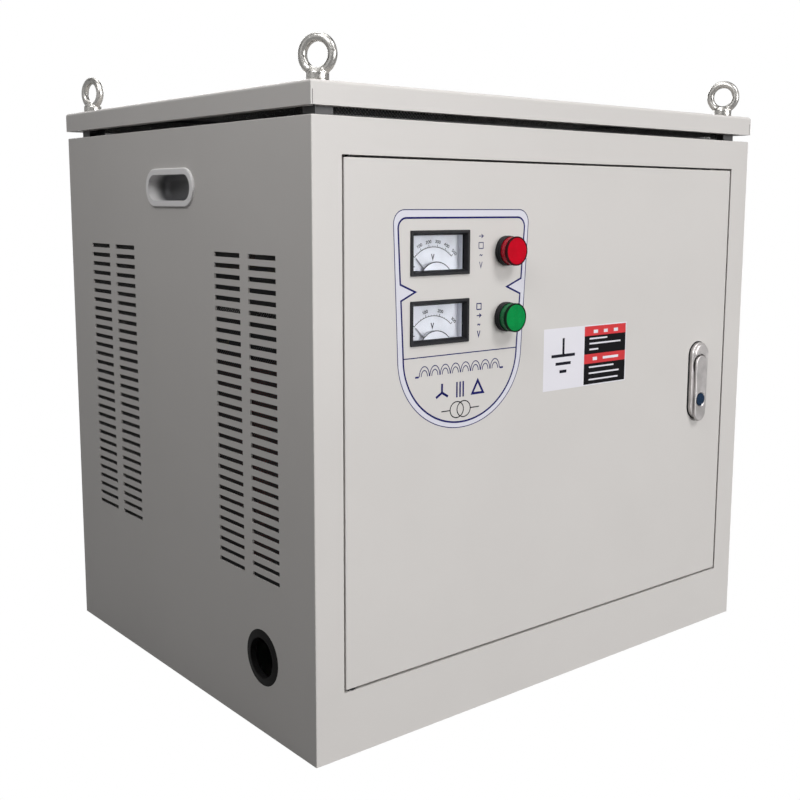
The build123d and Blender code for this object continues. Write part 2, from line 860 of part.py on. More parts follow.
def lock_body():
    """Obround lock body: a rotor pocket, a button pocket, a domed head and a rear boss."""
    dome_start = spindle_z + pocket_radius + handle_play
    with BuildPart() as body:
        with BuildSketch(front):
            with Locations((lock_x, lock_z)):
                SlotOverall(lock_height, lock_width, rotation=90)
        extrude(amount=lock_proud)
        fillet(body.edges().group_by(Axis.Y)[0], lock_edge)
        with BuildSketch(front):
            with Locations((lock_x, lock_z)):
                SlotOverall(lock_height - 2 * lock_dome_inset, lock_width - 2 * lock_dome_inset, rotation=90)
            with Locations((lock_x, dome_start - lock_height / 2)):
                Rectangle(lock_width, lock_height, mode=Mode.SUBTRACT)
        extrude(amount=lock_proud + lock_dome)
        crown = body.edges().group_by(Axis.Y)[0]
        fillet(crown.filter_by(GeomType.CIRCLE), lock_dome_edge)
        with BuildSketch(front):
            with Locations((lock_x, spindle_z)):
                Circle(lock_boss_radius)
        extrude(amount=-lock_boss_depth)
        with BuildSketch(front.offset(pocket_floor)):
            with Locations((lock_x, spindle_z)):
                Circle(pocket_radius)
        extrude(amount=lock_proud, mode=Mode.SUBTRACT)
        with BuildSketch(front.offset(lock_proud)):
            with Locations((lock_x, button_z)):
                Circle(button_radius + handle_play)
        extrude(amount=-button_pocket_depth, mode=Mode.SUBTRACT)
        with BuildSketch(front.offset(-lock_boss_depth)):
            with Locations((lock_x, spindle_z)):
                Circle(spindle_radius + spindle_fit)
        extrude(amount=lock_boss_depth + pocket_floor, mode=Mode.SUBTRACT)
    return body


def lock_nut():
    """Hexagon nut that clamps the lock body to the door."""
    with BuildPart() as nut:
        with BuildSketch(front.offset(-sheet)):
            with Locations((lock_x, spindle_z)):
                RegularPolygon(lock_nut_radius, 6)
                Circle(lock_boss_radius, mode=Mode.SUBTRACT)
        extrude(amount=-lock_nut_height)
    return nut


def lock_rotor():
    """Rotor: a slotted disc with two ears for the handle, a shaft and a square end."""
    disc_bottom = pocket_floor + rotor_play
    disc_radius = pocket_radius - rotor_disc_play
    shaft_end = cam_setback
    slot_width = pivot_lug_width + 2 * pivot_lug_play
    with BuildPart() as rotor:
        with BuildSketch(front.offset(disc_bottom)):
            with Locations((lock_x, spindle_z)):
                Circle(disc_radius)
        extrude(amount=rotor_disc_height)
        with BuildSketch(front.offset(disc_bottom)):
            with Locations((lock_x, spindle_z)):
                Circle(spindle_radius)
        extrude(amount=-(disc_bottom + shaft_end))
        with BuildSketch(front.offset(-shaft_end)):
            with Locations((lock_x, spindle_z)):
                Rectangle(square_size, square_size)
        extrude(amount=-cam_sheet)
        ear_half = slot_width / 2 + pivot_ear_width
        with BuildSketch(Plane.YZ.offset(lock_x - ear_half)):
            with Locations((-half_depth - pivot_height, pivot_z)):
                Circle(pivot_boss_radius)
        extrude(amount=2 * ear_half)
        with BuildSketch(front.offset(disc_bottom + rotor_disc_height + lock_proud)):
            with Locations((lock_x, pivot_z)):
                Rectangle(slot_width, 2 * (pivot_boss_radius + pivot_lug_play) + pivot_boss_radius)
        extrude(amount=-(rotor_disc_height + lock_proud), mode=Mode.SUBTRACT)
        with BuildSketch(Plane.YZ.offset(lock_x - ear_half)):
            with Locations((-half_depth - pivot_height, pivot_z)):
                Circle(pivot_pin_radius)
        extrude(amount=2 * ear_half, mode=Mode.SUBTRACT)
    return rotor


def handle_pin():
    """Pin that hinges the handle in the rotor's ears."""
    half = pivot_lug_width / 2 + pivot_lug_play + pivot_ear_width
    with BuildPart() as pin:
        with BuildSketch(Plane.YZ.offset(lock_x - half)):
            with Locations((-half_depth - pivot_height, pivot_z)):
                Circle(pivot_pin_radius)
        extrude(amount=2 * half)
    return pin


def lock_handle():
    """Flat handle with a lug on the pivot pin and a hole for the button."""
    with BuildPart() as handle:
        with BuildSketch(front.offset(lever_underside)):
            with Locations((lock_x, lever_middle)):
                SlotOverall(lever_length, lever_width, rotation=90)
        extrude(amount=handle_sheet)
        fillet(handle.edges().group_by(Axis.Y)[0], lever_edge)
        with BuildSketch(Plane.YZ.offset(lock_x - pivot_lug_width / 2)):
            with Locations((-half_depth - pivot_height, pivot_z)):
                Circle(pivot_boss_radius)
            with Locations((-half_depth - (pivot_height + lever_underside) / 2, pivot_z)):
                Rectangle(lever_underside - pivot_height, 2 * pivot_boss_radius)
        extrude(amount=pivot_lug_width)
        with BuildSketch(Plane.YZ.offset(lock_x - pivot_lug_width / 2)):
            with Locations((-half_depth - pivot_height, pivot_z)):
                Circle(pivot_pin_radius + spindle_fit)
        extrude(amount=pivot_lug_width, mode=Mode.SUBTRACT)
        with BuildSketch(front.offset(lever_underside)):
            with Locations((lock_x, button_z)):
                Circle(button_radius + button_fit)
        extrude(amount=handle_sheet, mode=Mode.SUBTRACT)
        rim = handle.edges().filter_by(GeomType.CIRCLE).filter_by(
            lambda edge: abs(edge.radius - button_radius - button_fit) < button_fit / 2
        )
        chamfer(rim.group_by(Axis.Y)[0], button_chamfer)
    return handle


def lock_button():
    """Round push button in the handle."""
    with BuildPart() as button:
        with BuildSketch(front.offset(lever_front + button_above - button_height)):
            with Locations((lock_x, button_z)):
                Circle(button_radius)
        extrude(amount=button_height)
        fillet(button.edges().group_by(Axis.Y)[0], button_above)
    return button


def lock_cam():
    """Cam on the rotor's square end; its tongue points at the stop lip."""
    reach = opening_half - stop_lip - cam_play - lock_x
    with BuildPart() as cam:
        with BuildSketch(front.offset(-cam_setback)):
            with Locations((lock_x, spindle_z)):
                Circle(cam_width / 2)
            with Locations((lock_x + reach / 2, spindle_z)):
                tongue = Rectangle(reach, cam_width)
            fillet(tongue.vertices().group_by(Axis.X)[-1], cam_corner)
            with Locations((lock_x, spindle_z)):
                Rectangle(square_size + square_fit, square_size + square_fit, mode=Mode.SUBTRACT)
        extrude(amount=-cam_sheet)
    return cam


def cam_screw():
    """Screw head and washer that keep the cam on the rotor."""
    with BuildPart() as screw:
        with BuildSketch(front.offset(-cam_setback - cam_sheet)):
            with Locations((lock_x, spindle_z)):
                Circle(cam_screw_radius)
        extrude(amount=-cam_screw_height)
        chamfer(screw.edges().group_by(Axis.Y)[-1], corner_radius)
    return screw


def base_rails():
    """Two channels on the tray that the core stands on."""
    with BuildPart() as rails:
        with BuildSketch(Plane.XZ.offset(-rail_length / 2)):
            for side in (-1, 1):
                with Locations((side * rail_spread, base_sheet + rail_height / 2)):
                    Rectangle(rail_width, rail_height)
                    with Locations((0, -rail_sheet)):
                        Rectangle(rail_width - 2 * rail_sheet, rail_height, mode=Mode.SUBTRACT)
        extrude(amount=rail_length)
    return rails


def bolt_places():
    """Places of the clamp bolts on each yoke, in x."""
    end = core_length / 2 + bolt_end_gap
    return (-end, -limb_spacing / 2, limb_spacing / 2, end)


def yoke_levels():
    """Heights of the middles of the lower and upper yoke."""
    return (core_bottom + yoke_height / 2, core_top - yoke_height / 2)


def core():
    """Three-limb laminated core, bored for the bolts through its yokes."""
    with BuildPart() as stack:
        with BuildSketch(Plane.XZ.offset(-stack_depth / 2)):
            with Locations((0, core_bottom + core_height / 2)):
                Rectangle(core_length, core_height)
                with GridLocations(limb_spacing, 0, 2, 1):
                    Rectangle(limb_spacing - limb_width, window_height, mode=Mode.SUBTRACT)
            for level in yoke_levels():
                with Locations((0, level)):
                    with GridLocations(limb_spacing, 0, 2, 1):
                        Circle(bolt_radius + bolt_fit, mode=Mode.SUBTRACT)
        extrude(amount=stack_depth)
    return stack


def yoke_clamps():
    """Four channels, two on each yoke, with their flanges turned outwards."""
    with BuildPart() as clamps:
        for side in (-1, 1):
            web = side * (stack_depth / 2 + clamp_web / 2)
            flange = side * (stack_depth / 2 + clamp_flange / 2)
            for level in (lower_clamp_bottom, upper_clamp_bottom):
                with BuildSketch(Plane.YZ.offset(-clamp_length / 2)):
                    with Locations((web, level + clamp_height / 2)):
                        Rectangle(clamp_web, clamp_height)
                    with Locations((flange, level + clamp_height / 2)):
                        with GridLocations(0, clamp_height - clamp_web, 1, 2):
                            Rectangle(clamp_flange, clamp_web)
                extrude(amount=clamp_length)
        for level in yoke_levels():
            with BuildSketch(Plane.XZ.offset(-half_depth)):
                for x in bolt_places():
                    with Locations((x, level)):
                        Circle(bolt_radius)
            extrude(amount=cabinet_depth, mode=Mode.SUBTRACT)
    return clamps


def clamp_bolts():
    """Bolts that draw the clamps together, with a head and a nut on each."""
    grip = stack_depth + 2 * clamp_web
    with BuildPart() as bolts:
        for level in yoke_levels():
            for x in bolt_places():
                with BuildSketch(Plane.XZ.offset(-grip / 2)):
                    with Locations((x, level)):
                        Circle(bolt_radius)
                extrude(amount=grip)
                for start in (-grip / 2 - bolt_head_height, grip / 2):
                    with BuildSketch(Plane.XZ.offset(start)):
                        with Locations((x, level)):
                            RegularPolygon(bolt_head_radius, 6)
                    extrude(amount=bolt_head_height)
    return bolts


def lv_coils():
    """Inner windings, one round each limb, with rounded outer corners."""
    with BuildPart() as coils:
        with BuildSketch(Plane.XY.offset(coil_bottom)):
            with GridLocations(limb_spacing, 0, 3, 1):
                RectangleRounded(2 * (lv_inner_x + lv_build), 2 * (lv_inner_y + lv_build), coil_corner)
                Rectangle(2 * lv_inner_x, 2 * lv_inner_y, mode=Mode.SUBTRACT)
        extrude(amount=coil_height)
    return coils


def hv_coils():
    """Outer windings: a former on each limb that carries evenly spaced discs of turns."""
    inner_x = lv_inner_x + lv_build + duct
    inner_y = lv_inner_y + lv_build + duct
    disc_height = (coil_height - (hv_discs - 1) * disc_gap) / hv_discs
    with BuildPart() as coils:
        with BuildSketch(Plane.XY.offset(coil_bottom)):
            with GridLocations(limb_spacing, 0, 3, 1):
                Rectangle(2 * (inner_x + hv_former), 2 * (inner_y + hv_former))
                Rectangle(2 * inner_x, 2 * inner_y, mode=Mode.SUBTRACT)
        extrude(amount=coil_height)
        for disc in range(hv_discs):
            with BuildSketch(Plane.XY.offset(coil_bottom + disc * (disc_height + disc_gap))):
                with GridLocations(limb_spacing, 0, 3, 1):
                    RectangleRounded(2 * (inner_x + hv_build), 2 * (inner_y + hv_build), coil_corner)
                    Rectangle(2 * inner_x, 2 * inner_y, mode=Mode.SUBTRACT)
            extrude(amount=disc_height)
    return coils


def duct_spacers():
    """Sticks between the windings, and blocks that hold the windings between the clamps."""
    stick_y = lv_inner_y + lv_build + duct / 2
    block_length = lv_build + duct + hv_build
    block_y = lv_inner_y + block_length / 2
    blocks = (
        (lower_clamp_bottom + clamp_height, coil_bottom),
        (coil_bottom + coil_height, upper_clamp_bottom),
    )
    with BuildPart() as spacers:
        for limb in (-limb_spacing, 0, limb_spacing):
            with BuildSketch(Plane.XY.offset(coil_bottom)):
                with Locations((limb, 0)):
                    with GridLocations(2 * spacer_spread, 2 * stick_y, 2, 2):
                        Rectangle(spacer_width, duct)
            extrude(amount=coil_height)
            for block_bottom, block_top in blocks:
                with BuildSketch(Plane.XY.offset(block_bottom)):
                    with Locations((limb, 0)):
                        with GridLocations(2 * spacer_spread, 2 * block_y, 2, 2):
                            Rectangle(spacer_width, block_length)
                extrude(amount=block_top - block_bottom)
    return spacers


def terminal_boards():
    """Two insulating boards on the upper clamps, one before and one behind the core."""
    board_y = coil_half_depth - board_width / 2
    with BuildPart() as boards:
        with BuildSketch(Plane.XY.offset(upper_clamp_top)):
            with GridLocations(0, 2 * board_y, 1, 2):
                Rectangle(board_length, board_width)
            with GridLocations(limb_spacing, 2 * (coil_half_depth - stud_setback), 3, 2):
                Circle(stud_radius, mode=Mode.SUBTRACT)
        extrude(amount=board_height)
    return boards


def phase_straps():
    """Copper straps from the coils' faces over the edge of each board to its studs."""
    board_top = upper_clamp_top + board_height
    with BuildPart() as straps:
        for side in (-1, 1):
            with BuildSketch(Plane.XY.offset(board_top - strap_drop)):
                with Locations((0, side * (coil_half_depth + strap_sheet / 2))):
                    with GridLocations(limb_spacing, 0, 3, 1):
                        Rectangle(strap_width, strap_sheet)
            extrude(amount=strap_drop)
            with BuildSketch(Plane.XY.offset(board_top)):
                with Locations((0, side * (coil_half_depth + strap_sheet - strap_reach / 2))):
                    with GridLocations(limb_spacing, 0, 3, 1):
                        Rectangle(strap_width, strap_reach)
                with Locations((0, side * (coil_half_depth - stud_setback))):
                    with GridLocations(limb_spacing, 0, 3, 1):
                        Circle(stud_radius, mode=Mode.SUBTRACT)
            extrude(amount=strap_sheet)
    return straps


def terminal_studs():
    """Brass studs through the boards, each with a nut on its strap."""
    strap_top = upper_clamp_top + board_height + strap_sheet
    with BuildPart() as studs:
        with BuildSketch(Plane.XY.offset(upper_clamp_top)):
            with GridLocations(limb_spacing, 2 * (coil_half_depth - stud_setback), 3, 2):
                Circle(stud_radius)
        extrude(amount=stud_height)
        with BuildSketch(Plane.XY.offset(strap_top)):
            with GridLocations(limb_spacing, 2 * (coil_half_depth - stud_setback), 3, 2):
                RegularPolygon(stud_nut_radius, 6)
        extrude(amount=stud_nut_height)
    return studs


os.makedirs("parts", exist_ok=True)

save(base_tray(), "base_tray")
save(rear_posts(), "rear_posts")
save(rear_panel(), "rear_panel")
save(front_rail(top=True), "front_top_rail")
save(front_rail(top=False), "front_bottom_rail")
save(top_ring(), "top_ring")
for side, hand in ((-1, "left"), (1, "right")):
    save(side_wall(side), f"side_wall_{hand}")
    save(louvre_screens(side), f"louvre_screens_{hand}")
    save(front_post(side), f"front_post_{hand}")
    save(side_handle(side), f"side_handle_{hand}")
save(cable_grommet(), "cable_grommet")
save(lid_posts(), "lid_posts")
save(vent_screens(), "vent_screens")
save(lid(), "lid")
save(eyebolts(), "eyebolts")
save(eyebolt_washers(), "eyebolt_washers")
save(hinge_pins(), "hinge_pins")
save(door_buffer(), "door_buffer")

save(door_panel(), "door_panel")
save(hinge_plates(), "hinge_plates")
for name, row in door_rows:
    save(meter_bezel(row), f"meter_bezel_{name}")
    save(meter_case(row), f"meter_case_{name}")
    save(meter_window(row), f"meter_window_{name}")
    save(meter_dial(row), f"meter_dial_{name}")
    save(meter_movement(row), f"meter_movement_{name}")
    save(meter_needle(row), f"meter_needle_{name}")
for colour, row in (("red", row_upper), ("green", row_lower)):
    save(lamp_body(row), f"lamp_body_{colour}")
    save(lamp_lens(row), f"lamp_lens_{colour}")
save(meter_terminals(), "meter_terminals")
save(lamp_nuts(), "lamp_nuts")
save(lock_body(), "lock_body")
save(lock_nut(), "lock_nut")
save(lock_rotor(), "lock_rotor")
save(handle_pin(), "handle_pin")
save(lock_handle(), "lock_handle")
save(lock_button(), "lock_button")
save(lock_cam(), "lock_cam")
save(cam_screw(), "cam_screw")

save(base_rails(), "base_rails")
save(core(), "core")
save(yoke_clamps(), "yoke_clamps")
save(clamp_bolts(), "clamp_bolts")
save(lv_coils(), "lv_coils")
save(hv_coils(), "hv_coils")
save(duct_spacers(), "duct_spacers")
save(terminal_boards(), "terminal_boards")
save(phase_straps(), "phase_straps")
save(terminal_studs(), "terminal_studs")
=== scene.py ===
import json
from math import asin, cos, pi, radians, sin

import bmesh
import bpy
from mathutils import Matrix, Vector
from mathutils.noise import noise as noise_value


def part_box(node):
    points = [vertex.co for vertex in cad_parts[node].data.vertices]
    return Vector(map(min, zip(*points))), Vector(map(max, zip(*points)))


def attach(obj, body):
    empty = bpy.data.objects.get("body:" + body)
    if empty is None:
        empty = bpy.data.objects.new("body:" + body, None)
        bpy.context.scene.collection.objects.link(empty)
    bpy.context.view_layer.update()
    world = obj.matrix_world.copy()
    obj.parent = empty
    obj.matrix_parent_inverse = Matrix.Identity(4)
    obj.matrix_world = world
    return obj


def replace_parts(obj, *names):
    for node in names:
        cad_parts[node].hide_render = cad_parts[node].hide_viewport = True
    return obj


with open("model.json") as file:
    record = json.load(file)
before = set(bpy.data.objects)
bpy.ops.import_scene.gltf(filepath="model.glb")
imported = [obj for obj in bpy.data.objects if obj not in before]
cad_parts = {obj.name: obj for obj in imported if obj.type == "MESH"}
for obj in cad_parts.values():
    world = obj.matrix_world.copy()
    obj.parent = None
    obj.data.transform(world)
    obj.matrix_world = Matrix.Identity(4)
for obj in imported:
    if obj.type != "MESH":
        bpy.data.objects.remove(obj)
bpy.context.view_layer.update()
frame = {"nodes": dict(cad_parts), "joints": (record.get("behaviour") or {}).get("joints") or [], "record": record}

MM = 0.001
joints = {joint["name"]: joint for joint in frame["joints"]}

# Places on the cabinet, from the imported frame
cabinet_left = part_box("rear_panel")[0].x
door_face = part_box("door_panel")[0].y
lid_low, lid_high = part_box("lid")

# Print on the door, in millimetres from the cabinet's left edge and from the floor
PRINT_PROUD = 0.06
PRINT_SUNK = 0.02
BADGE_TOP_MIDDLE = 166.0
BADGE_LOW_MIDDLE = 164.8
BADGE_OVAL_START = 350.6
BADGE_OUTER = {"top_half": 82.3, "low_half": 75.7, "top": 481.0, "bottom": 281.6, "radius": 12.0}
BADGE_INNER = {"top_half": 77.2, "low_half": 69.5, "top": 473.9, "bottom": 286.7, "radius": 9.0}
BADGE_OUTER_LINE = 0.8
BADGE_INNER_LINE = 1.7
NOTCH_MIDDLE = 409.2
NOTCH_HALF = 7.2
NOTCH_DEPTH = 17.9
NOTCH_LEFT_SHARE = 0.93
DIVIDER_LINE = 0.95


def linear(*levels):
    """Linear colour from 0 to 255 display levels."""
    return tuple(
        (v / 255 / 12.92) if v / 255 <= 0.04045 else ((v / 255 + 0.055) / 1.055) ** 2.4 for v in levels
    )


# ---------------------------------------------------------------- materials


def shader_material(name, colour, roughness, metallic=0.0, **sockets):
    """Principled material with a plain colour; further sockets by name, with _ for a space."""
    mat = bpy.data.materials.new(name)
    mat.use_nodes = True
    shader = mat.node_tree.nodes["Principled BSDF"]
    shader.inputs["Base Color"].default_value = (*colour, 1.0)
    shader.inputs["Roughness"].default_value = roughness
    shader.inputs["Metallic"].default_value = metallic
    for socket, value in sockets.items():
        shader.inputs[socket.replace("_", " ")].default_value = value
    mat.diffuse_color = (*colour, 1.0)
    return mat


def object_coordinates(mat, stretch=(1.0, 1.0, 1.0)):
    """Texture coordinates that stay with the piece, in metres, stretched along each axis."""
    nodes, links = mat.node_tree.nodes, mat.node_tree.links
    place = nodes.new("ShaderNodeTexCoord")
    mapping = nodes.new("ShaderNodeMapping")
    mapping.inputs["Scale"].default_value = stretch
    links.new(place.outputs["Object"], mapping.inputs["Vector"])
    return mapping.outputs["Vector"]


def noise(mat, scale, detail=2.0, stretch=(1.0, 1.0, 1.0)):
    """Output of a noise texture with its scale in cycles a metre."""
    texture = mat.node_tree.nodes.new("ShaderNodeTexNoise")
    texture.inputs["Scale"].default_value = scale
    texture.inputs["Detail"].default_value = detail
    mat.node_tree.links.new(object_coordinates(mat, stretch), texture.inputs["Vector"])
    return texture.outputs["Fac"]


def spread(mat, value, low, high, start=0.3, end=0.7):
    """Value mapped from start..end onto low..high."""
    node = mat.node_tree.nodes.new("ShaderNodeMapRange")
    node.inputs["From Min"].default_value = start
    node.inputs["From Max"].default_value = end
    node.inputs["To Min"].default_value = low
    node.inputs["To Max"].default_value = high
    mat.node_tree.links.new(value, node.inputs["Value"])
    return node.outputs["Result"]


def vary_colour(mat, value, first, second):
    """Base colour mixed from first to second by a value."""
    nodes, links = mat.node_tree.nodes, mat.node_tree.links
    mix = nodes.new("ShaderNodeMix")
    mix.data_type = "RGBA"
    mix.inputs["A"].default_value = (*first, 1.0)
    mix.inputs["B"].default_value = (*second, 1.0)
    links.new(value, mix.inputs["Factor"])
    links.new(mix.outputs["Result"], nodes["Principled BSDF"].inputs["Base Color"])


def vary_roughness(mat, value, low, high):
    """Roughness that follows a value."""
    shader = mat.node_tree.nodes["Principled BSDF"]
    mat.node_tree.links.new(spread(mat, value, low, high), shader.inputs["Roughness"])


def bump(mat, value, height):
    """Relief of the given height in metres."""
    nodes, links = mat.node_tree.nodes, mat.node_tree.links
    relief = nodes.new("ShaderNodeBump")
    relief.inputs["Distance"].default_value = height
    links.new(value, relief.inputs["Height"])
    links.new(relief.outputs["Normal"], nodes["Principled BSDF"].inputs["Normal"])


def scaled(colour, factor):
    """Colour made darker or lighter by a factor."""
    return tuple(min(1.0, level * factor) for level in colour)


def calculate(nodes, links, operation, *values):
    """Output of a maths node whose inputs are numbers or other outputs."""
    node = nodes.new("ShaderNodeMath")
    node.operation = operation
    for socket, value in zip(node.inputs, values):
        if isinstance(value, (int, float)):
            socket.default_value = value
        else:
            links.new(value, socket)
    return node.outputs[0]


def powder_coat(name, colour):
    """Light grey powder coat: orange peel, faint clouding and a soft sheen."""
    mat = shader_material(name, colour, 0.42, Specular_IOR_Level=0.45)
    clouds = spread(mat, noise(mat, 9.0, 3.0), 0.0, 1.0)
    vary_colour(mat, clouds, scaled(colour, 0.985), scaled(colour, 1.015))
    peel = noise(mat, 650.0, 2.0)
    vary_roughness(mat, peel, 0.36, 0.5)
    bump(mat, peel, 0.00003)
    return mat


def moulded_plastic(name, colour, roughness=0.4, grain=1800.0):
    """Moulded plastic with a fine spark-eroded grain."""
    mat = shader_material(name, colour, roughness)
    texture = noise(mat, grain, 2.0)
    vary_colour(mat, spread(mat, noise(mat, 60.0), 0.0, 1.0), scaled(colour, 0.92), scaled(colour, 1.08))
    vary_roughness(mat, texture, roughness - 0.06, roughness + 0.08)
    bump(mat, texture, 0.00002)
    return mat


def matt_black(name, colour, roughness=0.5, level=0.12):
    """Dull dark material with hardly any sheen: ink, rubber or fine-grained moulding."""
    mat = shader_material(name, colour, roughness, Specular_IOR_Level=level)
    vary_colour(mat, spread(mat, noise(mat, 160.0), 0.0, 1.0), scaled(colour, 0.8), scaled(colour, 1.2))
    vary_roughness(mat, noise(mat, 900.0), roughness - 0.06, roughness + 0.08)
    return mat


def printed_white(name, colour, roughness):
    """Pale printing ink or label film, even over the sheet, with a fine tooth."""
    mat = shader_material(name, colour, roughness)
    vary_colour(mat, noise(mat, 1400.0), scaled(colour, 0.97), scaled(colour, 1.02))
    vary_roughness(mat, noise(mat, 1100.0), roughness - 0.05, roughness + 0.06)
    return mat


def painted_shade_inwards(mat, light, dark, outside, inside):
    """Painted shade: base colour from light to dark with the depth in from a side wall, in metres from the middle,
    standing in for the shade inside a recess.
    """
    nodes, links = mat.node_tree.nodes, mat.node_tree.links
    split = nodes.new("ShaderNodeSeparateXYZ")
    links.new(object_coordinates(mat), split.inputs["Vector"])
    across = calculate(nodes, links, "ABSOLUTE", split.outputs["X"])
    depth = nodes.new("ShaderNodeMapRange")
    depth.interpolation_type = "SMOOTHSTEP"
    for socket, value in (("From Min", inside), ("From Max", outside), ("To Min", 1.0), ("To Max", 0.0)):
        depth.inputs[socket].default_value = value
    links.new(across, depth.inputs["Value"])
    vary_colour(mat, depth.outputs["Result"], light, dark)


def worked_metal(name, colour, roughness=0.28, scale=500.0, stretch=(1.0, 1.0, 1.0), relief=0.00003):
    """Plated or machined metal with a fine grain that follows how it was made."""
    mat = shader_material(name, colour, roughness, metallic=1.0)
    grain = noise(mat, scale, 4.0, stretch)
    clouds = spread(mat, noise(mat, 70.0, 3.0), 0.0, 1.0)
    vary_colour(mat, clouds, scaled(colour, 0.82), scaled(colour, 1.12))
    vary_roughness(mat, grain, max(0.05, roughness - 0.1), roughness + 0.14)
    bump(mat, grain, relief)
    return mat


def lamp_plastic(name, colour, level=0.22):
    """Tinted lens plastic with a soft gloss and faint clouding."""
    mat = shader_material(name, colour, 0.24, Specular_IOR_Level=level)
    clouds = spread(mat, noise(mat, 120.0), 0.0, 1.0)
    vary_colour(mat, clouds, scaled(colour, 0.86), scaled(colour, 1.1))
    vary_roughness(mat, noise(mat, 900.0), 0.18, 0.3)
    return mat


def clear_window(name):
    """Clear polycarbonate with hardly any tint."""
    mat = shader_material(name, (0.97, 0.98, 0.98), 0.04, Transmission_Weight=1.0, IOR=1.03)
    vary_roughness(mat, noise(mat, 400.0), 0.02, 0.07)
    return mat


def banded(name, dark, light, spacing, axis, roughness=0.5, metallic=0.0, relief=0.0002):
    """Stacked layers or turns: fine bands across one axis, spacing in metres."""
    mat = shader_material(name, light, roughness, metallic=metallic)
    nodes, links = mat.node_tree.nodes, mat.node_tree.links
    wave = nodes.new("ShaderNodeTexWave")
    wave.bands_direction = axis
    wave.inputs["Scale"].default_value = pi / 10 / spacing
    wave.inputs["Distortion"].default_value = 0.6
    wave.inputs["Detail"].default_value = 2.0
    wave.inputs["Detail Scale"].default_value = 2.0
    links.new(object_coordinates(mat), wave.inputs["Vector"])
    vary_colour(mat, wave.outputs["Fac"], dark, light)
    bump(mat, wave.outputs["Fac"], relief)
    return mat


CABINET_GREY = linear(206, 202.5, 199.5)
NAVY = linear(16, 18, 92)

MATERIALS = {
    "cabinet_paint": powder_coat("cabinet_paint", CABINET_GREY),
    "galvanised": worked_metal("galvanised", linear(168, 170, 172), 0.42, 90.0, relief=0.00002),
    "mesh": moulded_plastic("mesh_paint", linear(42, 42, 43), 0.5),
    "zinc": worked_metal("bright_zinc", linear(184, 182, 178), 0.27, 420.0, relief=0.00012),
    "lock_metal": worked_metal("satin_zinc", linear(192, 188, 187), 0.42, 900.0, (1.0, 1.0, 0.06), 0.00001),
    "steel": worked_metal("machined_steel", linear(150, 150, 152), 0.32, 700.0),
    "black_plastic": matt_black("black_plastic", linear(30, 30, 33), 0.42, 0.2),
    "foam": moulded_plastic("black_foam", linear(24, 24, 24), 0.85, 900.0),
    "dial_white": moulded_plastic("dial_white", linear(207, 208, 216), 0.55),
    "needle_paint": moulded_plastic("needle_black", linear(140, 140, 146), 0.6),
    "window": clear_window("clear_window"),
    "lens_red": lamp_plastic("lens_red", linear(192, 0, 30), 0.12),
    "lens_green": lamp_plastic("lens_green", linear(0, 136, 66), 0.12),
    "button_blue": lamp_plastic("button_blue", linear(4, 38, 66)),
    "brass": worked_metal("brass", linear(196, 160, 92), 0.25, 600.0),
    "copper": worked_metal("copper", linear(190, 112, 76), 0.3, 500.0),
    "core_steel": banded("laminations", linear(52, 54, 60), linear(98, 100, 106), 0.001, "Y", 0.45, 0.6),
    "clamp_paint": powder_coat("clamp_paint", linear(66, 68, 72)),
    "lv_winding": banded("varnished_winding", linear(92, 48, 18), linear(150, 88, 40), 0.003, "Z"),
    "hv_winding": banded("resin_winding", linear(92, 26, 18), linear(138, 44, 30), 0.0025, "Z", 0.3),
    "insulation": moulded_plastic("glass_laminate", linear(178, 152, 104), 0.5, 300.0),
}
LIGHT_PLASTIC = moulded_plastic("handle_plastic", linear(243, 241, 241), 0.38)
# Painted shade inside the side handles' grip cups: darker deeper into the recess.
painted_shade_inwards(LIGHT_PLASTIC, linear(243, 241, 241), linear(112, 112, 114), 0.2985, 0.285)
GROMMET_RUBBER = matt_black("grommet_rubber", linear(24, 23, 23), 0.6, 0.1)
# Dark grey on the lid's posts is painted shade, for the shade in the gap under the lid.
POST_PAINTED_SHADE = powder_coat("post_painted_shade", linear(90, 89, 90))
# Dark grey on the hinge pins and plates is painted shade, for the shade in the door's gap where they sit.
HINGE_PAINTED_SHADE = worked_metal("hinge_painted_shade", linear(60, 60, 62), 0.5)
PALE_INK = printed_white("pale_ink", linear(213, 212, 222), 0.5)
NAVY_INK = matt_black("navy_ink", NAVY)
BLACK_INK = matt_black("black_ink", linear(14, 13, 26))
WHITE_LABEL = printed_white("white_label", linear(225, 223, 230), 0.4)
RED_LABEL = moulded_plastic("red_label", linear(204, 40, 46), 0.35)
BLACK_LABEL = matt_black("black_label", linear(13, 12, 15), 0.5, 0.08)

LENS_SIDES = {
    "red": lamp_plastic("lens_side_red", linear(168, 6, 34), 0.3),
    "green": lamp_plastic("lens_side_green", linear(4, 104, 56), 0.3),
}
LENS_RIMS = {
    "red": matt_black("lens_rim_red", linear(50, 2, 8), 0.6, 0.1),
    "green": matt_black("lens_rim_green", linear(2, 34, 18), 0.6, 0.1),
}
LENS_SEAMS = {
    "red": moulded_plastic("lens_seam_red", linear(40, 6, 12), 0.5),
    "green": moulded_plastic("lens_seam_green", linear(4, 26, 18), 0.5),
}

slot_of = {entry["node"]: entry["material_slot"] for entry in frame["record"]["subparts"]}
own_material = {
    "side_handle_left": LIGHT_PLASTIC,
    "side_handle_right": LIGHT_PLASTIC,
    "lid_posts": POST_PAINTED_SHADE,
    "cable_grommet": GROMMET_RUBBER,
    "hinge_pins": HINGE_PAINTED_SHADE,
    "hinge_plates": HINGE_PAINTED_SHADE,
}
SMOOTH_ANGLE = radians(35)
for node, obj in frame["nodes"].items():
    obj.data.materials.clear()
    obj.data.materials.append(own_material.get(node, MATERIALS[slot_of[node]]))
    obj.data.set_sharp_from_angle(angle=SMOOTH_ANGLE)
    for face in obj.data.polygons:
        face.use_smooth = True


# ---------------------------------------------------------------- building blocks


